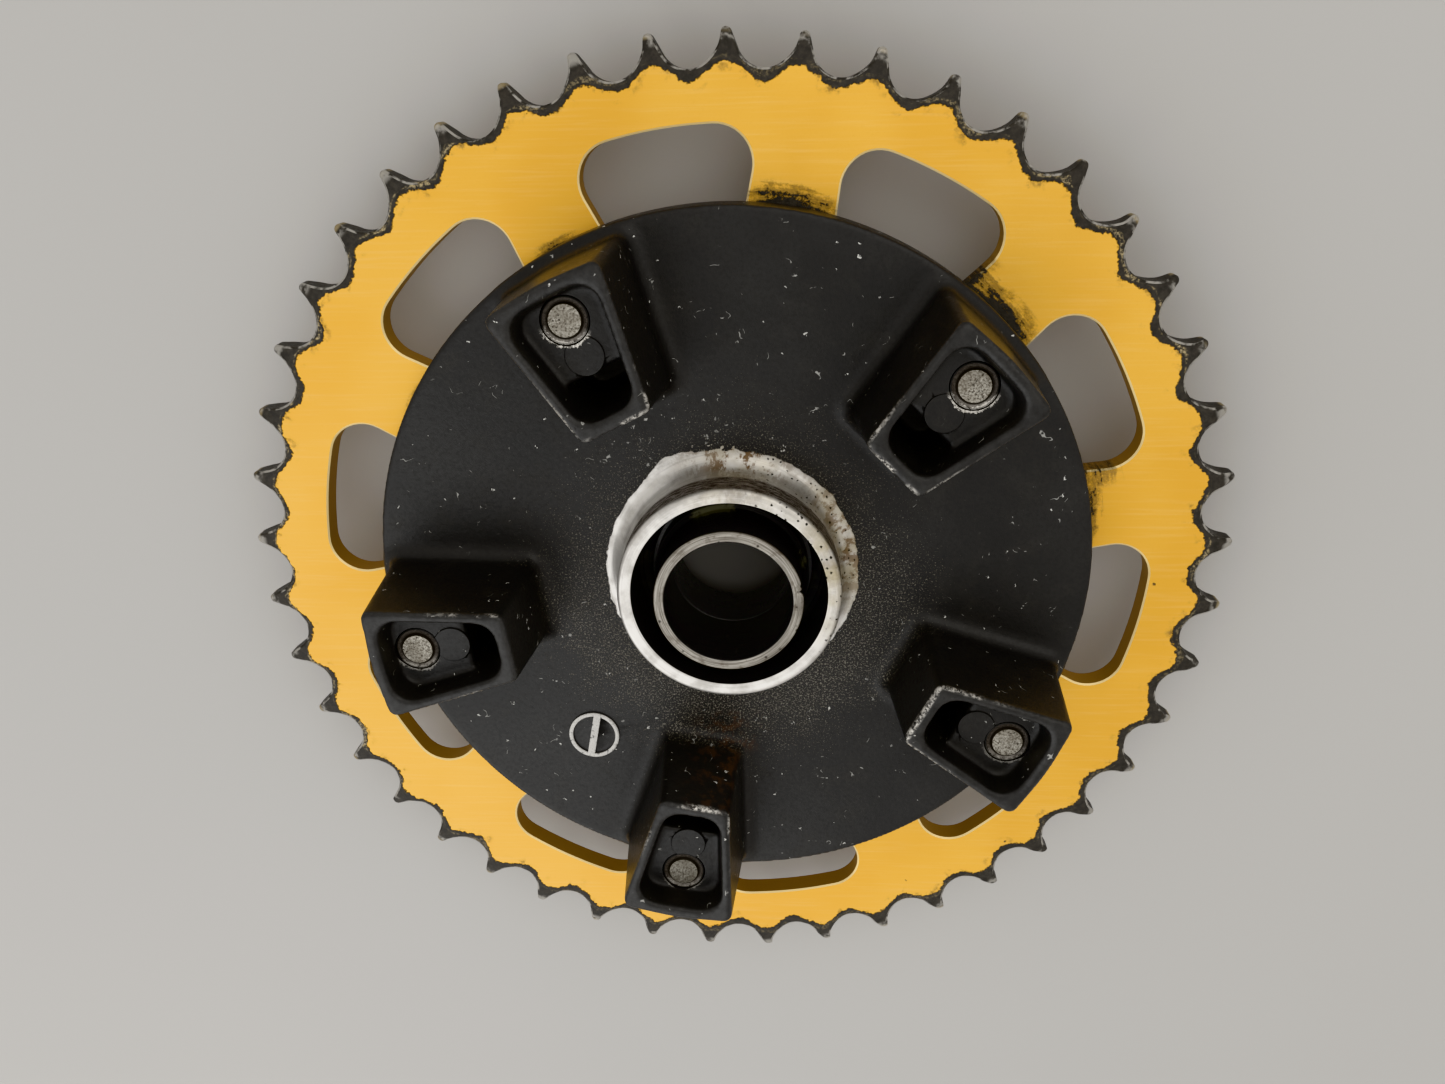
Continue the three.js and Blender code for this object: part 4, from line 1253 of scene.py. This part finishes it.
def casting_field():
    reach = FLANGE_RADIUS + 3 * CELL
    xs = np.arange(-reach, reach + CELL, CELL)
    zs = np.arange(HUB_END - CAST_EXTRA - 3 * CELL, LUG_TOP + 3 * CELL, CELL)
    x, y = np.meshgrid(xs, xs, indexing="ij")
    radius = np.hypot(x, y)
    steps = np.arange(0.0, reach * 1.5, 0.25)
    grid_r, grid_z = np.meshgrid(steps, zs, indexing="ij")
    table = polygon_distance(grid_r, grid_z, cast_profile())
    field = np.empty((len(xs), len(xs), len(zs)))
    for k in range(len(zs)):
        field[:, :, k] = np.interp(radius, steps, table[:, k])
    add_ribs(field, xs, zs)
    carve_lugs(field, xs, zs)
    return blurred(field), np.array([xs[0], xs[0], zs[0]])


CORNERS = [(a, b, c) for a in (0, 1) for b in (0, 1) for c in (0, 1)]


def sample(field, at):
    """The field between its grid points, at positions counted in cells."""
    whole = np.clip(np.floor(at).astype(int), 0, np.array(field.shape) - 2)
    part = at - whole
    total = 0.0
    for corner in CORNERS:
        weight = np.abs(1 - np.array(corner) - part).prod(1)
        total = total + weight * field[tuple((whole + corner).T)]
    return total


def on_surface(field, at):
    """Move points along the field's slope to where it is zero."""
    reach = 0.5
    for _ in range(2):
        slope = np.stack([
            sample(field, at + reach * np.eye(3)[i]) - sample(field, at - reach * np.eye(3)[i])
            for i in range(3)
        ], 1)
        size = np.maximum((slope ** 2).sum(1), 1e-9)
        move = -(sample(field, at) / size)[:, None] * slope
        length = np.maximum(np.linalg.norm(move, axis=1), 1e-9)
        at = at + move * np.minimum(1, 0.3 / length)[:, None]
    return at


def cell_points(field, active):
    """One point in each active cell: the middle of where the surface crosses its edges."""
    base = np.argwhere(active)
    total = np.zeros((len(base), 3))
    count = np.zeros(len(base))
    for a in CORNERS:
        for axis in range(3):
            if a[axis]:
                continue
            b = tuple(v + (i == axis) for i, v in enumerate(a))
            fa = field[tuple((base + a).T)]
            fb = field[tuple((base + b).T)]
            cross = (fa < 0) != (fb < 0)
            share = np.where(cross, fa / np.where(cross, fa - fb, 1), 0)
            step = np.array(a) + share[:, None] * (np.array(b) - np.array(a))
            total += step * cross[:, None]
            count += cross
    return base + total / count[:, None]


def surface_mesh(field):
    """Points in cells and quads of the surface where the field is zero."""
    inside = field < 0
    n = np.array(field.shape) - 1
    filled = sum(inside[a:n[0] + a, b:n[1] + b, c:n[2] + c].astype(np.int8) for a, b, c in CORNERS)
    active = (filled > 0) & (filled < 8)
    ids = np.full(active.shape, -1)
    ids[active] = np.arange(active.sum())
    points = on_surface(field, cell_points(field, active))
    quads = []
    for axis in range(3):
        p, q = (axis + 1) % 3, (axis + 2) % 3
        low = [slice(1, -1)] * 3
        low[axis] = slice(0, -1)
        high = list(low)
        high[axis] = slice(1, None)
        first, second = inside[tuple(low)], inside[tuple(high)]
        at = np.argwhere(first != second) + [int(i != axis) for i in range(3)]
        out = first[first != second]
        corners = []
        for dp, dq in ((-1, -1), (0, -1), (0, 0), (-1, 0)):
            cell = at.copy()
            cell[:, p] += dp
            cell[:, q] += dq
            corners.append(ids[tuple(cell.T)])
        quad = np.stack(corners, 1)
        quad[~out] = quad[~out][:, ::-1]
        quads.append(quad)
    return points, np.concatenate(quads)


def cast_body():
    field, low = casting_field()
    points, quads = surface_mesh(field)
    obj = raw_object("carrier_casting", points * CELL + low, quads.tolist())
    thin = obj.modifiers.new("thin", "DECIMATE")
    thin.ratio = KEEP_SHARE
    apply_modifiers(obj)
    return obj


def boss_cutter():
    """What the lathe takes off round and inside the boss, hub and bearing seat."""
    far = 60.0
    fillet = arc(BOSS_RADIUS + BOSS_FILLET, FLANGE_TOP + BOSS_FILLET, BOSS_FILLET,
                 1.5 * math.pi, math.pi, 10)
    edge = arc(BOSS_RADIUS - 1.1, BOSS_TOP - 1.1, 1.1, 0, math.pi / 2, 6)
    profile = [
        (0.0, far), (BOSS_RADIUS + BOSS_FILLET, far), *fillet, *edge,
        (BOSS_BORE + 0.35, BOSS_TOP), (BOSS_BORE + 0.1, BOSS_TOP - 0.1),
        (BOSS_BORE, BOSS_TOP - 0.35),
        (BOSS_BORE, BEARING_TOP),
        (BEARING_SEAT, BEARING_TOP),
        (BEARING_SEAT, DUST_TOP),
        (DUST_SEAT, DUST_TOP), (DUST_SEAT, HUB_END + 0.6), (DUST_SEAT + 0.6, HUB_END),
        (HUB_RADIUS - 0.9, HUB_END), (HUB_RADIUS + 1.0, HUB_END - 1.9),
        (HUB_RADIUS + 1.0, -far), (0.0, -far),
    ]
    return spun("boss_cutter", profile)


def seat_cutter():
    """What the lathe takes off at the sprocket's seat and pilot."""
    far = 95.0
    profile = [
        (PILOT_RADIUS, 0.0), (FLANGE_RADIUS - 0.7, 0.0), (FLANGE_RADIUS + 0.6, 1.3), (far, 1.3),
        (far, -HUB_RADIUS), (RECESS_OUTER - 3.0, -HUB_RADIUS),
        (RECESS_OUTER - 3.0, -PILOT_DEPTH), (PILOT_RADIUS - 0.6, -PILOT_DEPTH),
        (PILOT_RADIUS, -PILOT_DEPTH + 0.6),
    ]
    return ring_object("seat_cutter", ring_rows(profile, CUTTER_SEGMENTS))


def spun(name, profile):
    """A solid turned from a profile whose first and last points are on the axis."""
    return bar_object(name, ring_rows(profile[1:-1], CUTTER_SEGMENTS))


def stud_hole_cutter(index):
    profile = [(STUD_HOLE, -2.0), (STUD_HOLE, POCKET_FLOOR + 4.0)]
    rows = ring_rows(profile, PIN_SEGMENTS, spoke_point(index, STUD_CIRCLE))
    return bar_object("stud_hole_cutter", rows)


def core_pin(index):
    """The round pad that the core pin leaves between the pocket's floor and its well."""
    top = POCKET_FLOOR + PIN_RISE
    profile = [(PIN_RADIUS, WELL_FLOOR - 2.0), (PIN_RADIUS, top - 0.18),
               (PIN_RADIUS - 0.06, top - 0.06), (PIN_RADIUS - 0.2, top)]
    return bar_object("core_pin", ring_rows(profile, PIN_SEGMENTS, spoke_point(index, PIN_AT)))


def clock_ring():
    low, top, ease = FLANGE_TOP - CLOCK_ROOT, FLANGE_TOP + CLOCK_HEIGHT, CLOCK_EASE
    profile = [(CLOCK_INNER, low), (CLOCK_OUTER, low), (CLOCK_OUTER, top - ease),
               (CLOCK_OUTER - ease, top), (CLOCK_INNER + ease, top), (CLOCK_INNER, top - ease)]
    return ring_object("clock_ring", ring_rows(profile, 64, CLOCK_AT))


def clock_bar():
    low, top = FLANGE_TOP - CLOCK_ROOT, FLANGE_TOP + CLOCK_HEIGHT
    half = (CLOCK_OUTER + CLOCK_INNER) / 2
    rows = []
    for height, shrink in ((low, 0.0), (top - CLOCK_EASE, 0.0), (top, CLOCK_EASE)):
        wide, long = CLOCK_BAR_HALF - shrink, half - shrink * 0.2
        corners = np.array([(-long, -wide), (long, -wide), (long, wide), (-long, wide)])
        rows.append(level(turned_by(corners, CLOCK_TURN) + CLOCK_AT, height))
    return bar_object("clock_bar", rows)


def mark_sharp(obj, degrees):
    """Sharp edges where machined faces meet cast ones, or each other at an angle."""
    mesh = obj.data
    mesh.polygons.foreach_set("use_smooth", [True] * len(mesh.polygons))
    work = bmesh.new()
    work.from_mesh(mesh)
    limit = math.radians(degrees)
    for edge in work.edges:
        faces = edge.link_faces
        if len(faces) != 2:
            continue
        indices = {face.material_index for face in faces}
        machined = len(indices) == 2 or indices == {1}
        edge.smooth = not (machined and edge.calc_face_angle(0) > limit)
    work.to_mesh(mesh)
    work.free()


def carrier():
    obj = cast_body()
    obj.data.materials.clear()
    slots = [paint_look(), machined_look()]
    crisp(obj, slots, 0)
    added = [clock_ring(), clock_bar(), *(core_pin(i) for i in range(STUD_COUNT))]
    removed = [boss_cutter(), seat_cutter(), *(stud_hole_cutter(i) for i in range(STUD_COUNT))]
    for others, operation in ((added, "UNION"), (removed, "DIFFERENCE")):
        for other in others:
            crisp(other, slots, int(operation == "DIFFERENCE"))
            combine(obj, other, operation)
    mark_sharp(obj, 22)
    weigh = obj.modifiers.new("weigh", "WEIGHTED_NORMAL")
    weigh.keep_sharp = True
    apply_modifiers(obj)
    stand_in(obj, "carrier_assembly", "carrier")


def crisp(obj, slots, index):
    """Give every face of an object the material at index among the carrier's slots."""
    for slot in slots:
        obj.data.materials.append(slot)
    obj.data.polygons.foreach_set("material_index", [index] * len(obj.data.polygons))


# ---- studs and nuts ----

THREAD_PITCH = 1.25
THREAD_DEPTH = 0.55
THREAD_TOP = -15.9
STUD_SEGMENTS = 48
NUT_SEGMENTS = 72


def thread_rows(low, high):
    """Rows of a helical thread between two heights, fading out at its ends."""
    angles = spread(STUD_SEGMENTS)
    rows = []
    for height in np.arange(low, high, THREAD_PITCH / 9):
        phase = (height / THREAD_PITCH - angles / TURN) % 1.0
        cut = THREAD_DEPTH * np.clip(1.25 - 2.5 * np.abs(phase - 0.5), 0, 1)
        fade = min(1.0, (high - height) / THREAD_PITCH)
        bevel = max(0.0, 1.3 - (height - low)) * 0.9
        radius = np.minimum(STUD_RADIUS - cut * fade, STUD_RADIUS - bevel)
        rows.append(level(on_circle(radius, angles), height))
    return rows


def stud_rows():
    rows = thread_rows(STUD_BOTTOM, THREAD_TOP)
    top = [
        (STUD_RADIUS, THREAD_TOP + 0.1), (STUD_RADIUS, POCKET_FLOOR - 0.35),
        (STUD_RADIUS - 0.10, POCKET_FLOOR - 0.08), (STUD_RIM + 0.10, POCKET_FLOOR + 0.02),
        (STUD_RIM, POCKET_FLOOR - 0.10), (STUD_GROOVE + 0.10, POCKET_FLOOR - 0.26),
        (STUD_GROOVE, POCKET_FLOOR - 0.20), (STUD_FACE + 0.40, STUD_TOP - 0.62),
        (STUD_FACE + 0.12, STUD_TOP - 0.12),
        (STUD_FACE, STUD_TOP),
    ]
    return rows + ring_rows(top, STUD_SEGMENTS)


def stand(rows, index):
    """Rows built on the axle's line, moved out to a stud's place."""
    out = []
    for row in rows:
        flat = turned_by(row[:, :2] + (STUD_CIRCLE, 0.0), spoke_angle(index))
        out.append(level(flat, row[:, 2]))
    return out


def studs():
    look = stud_look()
    for i in range(STUD_COUNT):
        obj = bar_object(f"stud_{i + 1}_threaded", stand(stud_rows(), i))
        smooth(obj, 35)
        settle(obj, "carrier_assembly", f"stud_{i + 1}", look)


def nut_rows():
    """Rows of a flange nut: up its outside from the free end, over the flange, down the bore."""
    angles = spread(NUT_SEGMENTS)
    flat = NUT_FLATS / 2
    folded = (angles + math.pi / 6) % (math.pi / 3) - math.pi / 6
    hexagon = flat / np.cos(folded)
    corner = flat / math.cos(math.pi / 6)
    low, top = NUT_BOTTOM, NUT_TOP
    outside = [
        (np.minimum(hexagon, flat * 0.965), low),
        (np.minimum(hexagon, flat + 0.12), low + 0.12),
        (np.minimum(hexagon, corner - 0.32), low + 0.5), (hexagon, low + 0.85),
        (hexagon, top - 3.9), (np.maximum(hexagon, flat + 0.35), top - 3.4),
        (np.maximum(hexagon, flat + 1.5), top - 2.6), (NUT_FLANGE - 0.35, top - 1.75),
        (NUT_FLANGE, top - 1.4), (NUT_FLANGE, top - 0.4), (NUT_FLANGE - 0.4, top),
        (NUT_BORE + 0.6, top), (NUT_BORE, top - 0.6), (NUT_BORE, low + 0.6),
        (NUT_BORE + 0.6, low),
    ]
    return ring_rows(outside, NUT_SEGMENTS)


def nuts():
    look = nut_look()
    for i in range(STUD_COUNT):
        obj = ring_object(f"flange_nut_{i + 1}_hex", stand(nut_rows(), i))
        smooth(obj, 25)
        settle(obj, "carrier_assembly", f"flange_nut_{i + 1}", look)


# ---- bearing, seals and sleeve ----

TURNED = 128
BALL_SEGMENTS = 32
BALL_RINGS = 16
CAGE_OUTER = 22.8
CAGE_INNER = 20.2
CAGE_POCKET = 5.15


def groove(land):
    rise = land - BALL_CIRCLE
    edge = math.acos(abs(rise) / GROOVE_RADIUS)
    facing = 0 if rise > 0 else math.pi
    points = arc(BALL_CIRCLE, BEARING_MIDDLE, GROOVE_RADIUS, facing + edge, facing - edge, 14)
    return [(x, y, 0) for x, y in points]


def bearing():
    steel = ring_look()
    low, top = BEARING_LOW, BEARING_TOP
    outer = BEARING_SEAT - 0.05
    outer_profile = rounded([
        (outer, low, 0.9), (outer, top, 0.9), (SEAL_RECESS, top, 0.3),
        (SEAL_RECESS, top - SEAL_DEPTH, 0.0), (OUTER_LAND, top - SEAL_DEPTH, 0.2),
        *groove(OUTER_LAND),
        (OUTER_LAND, low + SEAL_DEPTH, 0.2), (SEAL_RECESS, low + SEAL_DEPTH, 0.0),
        (SEAL_RECESS, low, 0.3),
    ], 4)
    turned_piece("bearing_outer_race", outer_profile, "bearing_outer_ring",
                 "carrier_assembly", steel)
    inner_profile = rounded([
        (BEARING_BORE, top, 0.5), (BEARING_BORE, low, 0.5), (INNER_LAND, low, 0.25),
        *groove(INNER_LAND), (INNER_LAND, top, 0.25),
    ], 4)
    turned_piece("bearing_inner_race", inner_profile, "bearing_inner_ring",
                 "inner_race", steel)


def seal_profile(facing):
    """A bearing seal with a raised rib and a thin lip, outside towards facing."""
    outer, inner = SEAL_RECESS - 0.05, INNER_LAND + 0.25
    at = [
        (inner, 0.9), (inner + 0.5, 0.72), (inner + 1.3, 0.42), (inner + 1.9, 0.4),
        (inner + 2.1, 0.62), (outer - 2.4, 0.62), (outer - 2.2, 0.42), (outer - 1.2, 0.4),
        (outer - 0.5, 0.55), (outer, 0.9), (outer, SEAL_DEPTH), (inner, SEAL_DEPTH),
    ]
    middle, half = BEARING_MIDDLE, (BEARING_TOP - BEARING_LOW) / 2
    return [(r, middle + facing * (half - depth)) for r, depth in at]


def seals():
    rubber = rubber_look()
    turned_piece("bearing_seal_upper", seal_profile(1), "bearing_seal_wheel_side",
                 "carrier_assembly", rubber)
    turned_piece("bearing_seal_lower", seal_profile(-1), "bearing_seal_chain_side",
                 "carrier_assembly", rubber)
    outer, shell, face = DUST_SEAT - 0.05, 1.0, 24.0
    case = rounded([
        (outer, DUST_OUT, 0.7), (outer, DUST_TOP, 0.2), (outer - shell, DUST_TOP, 0.2),
        (outer - shell, DUST_OUT + shell, 0.4), (face, DUST_OUT + shell, 0.0),
        (face, DUST_OUT, 0.0),
    ], 4)
    turned_piece("dust_seal_shell", case, "dust_seal_case", "carrier_assembly",
                 seal_case_look())
    lip = rounded([
        (face, DUST_OUT, 0.0), (face, DUST_OUT + shell, 0.0), (22.0, DUST_OUT + 1.6, 0.5),
        (21.3, DUST_OUT + 4.6, 0.4), (19.6, DUST_OUT + 5.2, 0.25), (19.1, DUST_OUT + 4.4, 0.2),
        (20.1, DUST_OUT + 1.6, 0.4), (19.4, DUST_OUT - 0.3, 0.1), (20.2, DUST_OUT - 0.3, 0.2),
        (21.6, DUST_OUT, 0.3),
    ], 4)
    turned_piece("dust_seal_rubber", lip, "dust_seal_lip", "carrier_assembly",
                 rubber)


def ball_object(name, radius, at):
    """A sphere about a point on the balls' circle."""
    polar = np.arange(1, BALL_RINGS) * math.pi / BALL_RINGS
    profile = zip(radius * np.sin(polar), BEARING_MIDDLE - radius * np.cos(polar))
    rows = ring_rows(profile, BALL_SEGMENTS, at)
    faces = rows_to_faces(rows, False)
    points = np.concatenate(rows)
    south, north = len(points), len(points) + 1
    points = np.vstack([points, [*at, BEARING_MIDDLE - radius], [*at, BEARING_MIDDLE + radius]])
    last = (len(rows) - 1) * BALL_SEGMENTS
    for j in range(BALL_SEGMENTS):
        k = (j + 1) % BALL_SEGMENTS
        faces.append((south, k, j))
        faces.append((north, last + j, last + k))
    return raw_object(name, points, faces)


def ball_place(index):
    angle = index * TURN / BALL_COUNT
    return BALL_CIRCLE * math.cos(angle), BALL_CIRCLE * math.sin(angle)


def balls():
    look = ball_look()
    for i in range(BALL_COUNT):
        obj = ball_object(f"bearing_ball_{i + 1}_polished", BALL_RADIUS, ball_place(i))
        smooth(obj, 60)
        settle(obj, f"ball_{i + 1}", f"bearing_ball_{i + 1}", look)


def cage():
    bottom, top = heights("bearing_cage")
    profile = rounded([
        (CAGE_OUTER, bottom, 0.4), (CAGE_OUTER, top, 0.3),
        (CAGE_INNER, top, 0.3), (CAGE_INNER, bottom, 0.4),
    ], 3)
    obj = ring_object("bearing_cage_snap", ring_rows(profile, 144))
    for i in range(BALL_COUNT):
        combine(obj, ball_object("pocket", CAGE_POCKET, ball_place(i)), "DIFFERENCE")
    smooth(obj, 30)
    settle(obj, "cage", "bearing_cage", cage_look())


def sleeve():
    profile = rounded([
        (SLEEVE_BORE, SLEEVE_TOP, 0.35), (SLEEVE_BORE, SLEEVE_BOTTOM, 0.3),
        (COLLAR_RADIUS, SLEEVE_BOTTOM, 0.4), (COLLAR_RADIUS, COLLAR_TOP, 0.5),
        (SLEEVE_RADIUS, COLLAR_TOP + 0.5, 0.3), (SLEEVE_RADIUS, SLEEVE_TOP, 0.45),
    ], 4)
    rows = ring_rows(profile, 160)
    points = np.concatenate(rows)
    angle = np.degrees(np.arctan2(points[:, 1], points[:, 0]))
    radius = np.hypot(points[:, 0], points[:, 1])
    near = np.exp(-((angle - 9.0) / 1.8) ** 2) + 0.55 * np.exp(-((angle - 13.5) / 1.2) ** 2)
    rim = (points[:, 2] > SLEEVE_TOP - 0.6) & (radius > SLEEVE_RADIUS - 0.8)
    dent = near * rim
    points[:, 2] -= 0.42 * dent
    points[:, :2] *= (1 - 0.5 * dent / SLEEVE_RADIUS)[:, None]
    obj = raw_object("spacer_sleeve_turned", points, rows_to_faces(rows, True))
    smooth(obj, 30)
    settle(obj, "inner_race", "spacer_sleeve", sleeve_look())


# ---- floor, light and camera ----

FLOOR_REACH = 2.5
FLOOR_GREY = (0.46, 0.455, 0.445)
FLOOR_PALE = (0.50, 0.495, 0.485)
SKY = (1.0, 0.97, 0.925)
SKY_STRENGTH = 0.76
LAMPS = (  # name, place and diameter in metres, watts, colour
    ("key", (-0.55, -0.75, 0.95), 1.5, 6.5, (0.97, 0.985, 1.0)),
    ("top", (0.45, 0.60, 1.15), 1.3, 3.4, (1.0, 0.975, 0.93)),
)
LAMP_AIM = (0, 0, 0.02)
SENSOR_WIDTH = 36.0
LENS = 29.23
CAMERA_AT = (0.013335, 0.107950, 0.277781)
CAMERA_RIGHT = (0.99837035, -0.01769862, -0.0542532)
CAMERA_UP = (-0.00382753, 0.92778384, -0.37309851)
CAMERA_BACK = (0.05693857, 0.37269815, 0.92620413)


def floor():
    mesh = bpy.data.meshes.new("floor")
    far = FLOOR_REACH
    corners = [(-far, -far, 0), (far, -far, 0), (far, far, 0), (-far, far, 0)]
    mesh.from_pydata(corners, [], [(0, 1, 2, 3)])
    look = Look("pale_floor")
    colour = look.noise(0.004, 2.0).mix(FLOOR_GREY, FLOOR_PALE)
    mesh.materials.append(look.finish(colour, 0.55, 0.0))
    linked("floor", mesh)


def area_light(name, at, size, power, colour):
    light = bpy.data.lights.new(name, "AREA")
    light.shape = "DISK"
    light.size = size
    light.energy = power
    light.color = colour
    obj = linked(name, light)
    obj.location = at
    aim = Vector(LAMP_AIM) - obj.location
    obj.rotation_euler = aim.to_track_quat("-Z", "Y").to_euler()


def lights():
    world = bpy.data.worlds.new("studio")
    world.use_nodes = True
    backdrop = world.node_tree.nodes["Background"]
    backdrop.inputs["Color"].default_value = (*SKY, 1.0)
    backdrop.inputs["Strength"].default_value = SKY_STRENGTH
    bpy.context.scene.world = world
    bpy.context.scene.view_settings.view_transform = "Khronos PBR Neutral"
    for lamp in LAMPS:
        area_light(*lamp)


def camera():
    """The photograph's viewpoint, in the row frame."""
    data = bpy.data.cameras.new("camera")
    data.sensor_width = SENSOR_WIDTH
    data.lens = LENS
    data.clip_start = 0.01
    obj = linked("camera", data)
    turn = Matrix((CAMERA_RIGHT, CAMERA_UP, CAMERA_BACK)).transposed()
    obj.matrix_world = Matrix.Translation(CAMERA_AT) @ turn.to_4x4()
    bpy.context.scene.camera = obj


camera()
lights()
floor()
sprocket()
carrier()
studs()
nuts()
bearing()
seals()
balls()
cage()
sleeve()
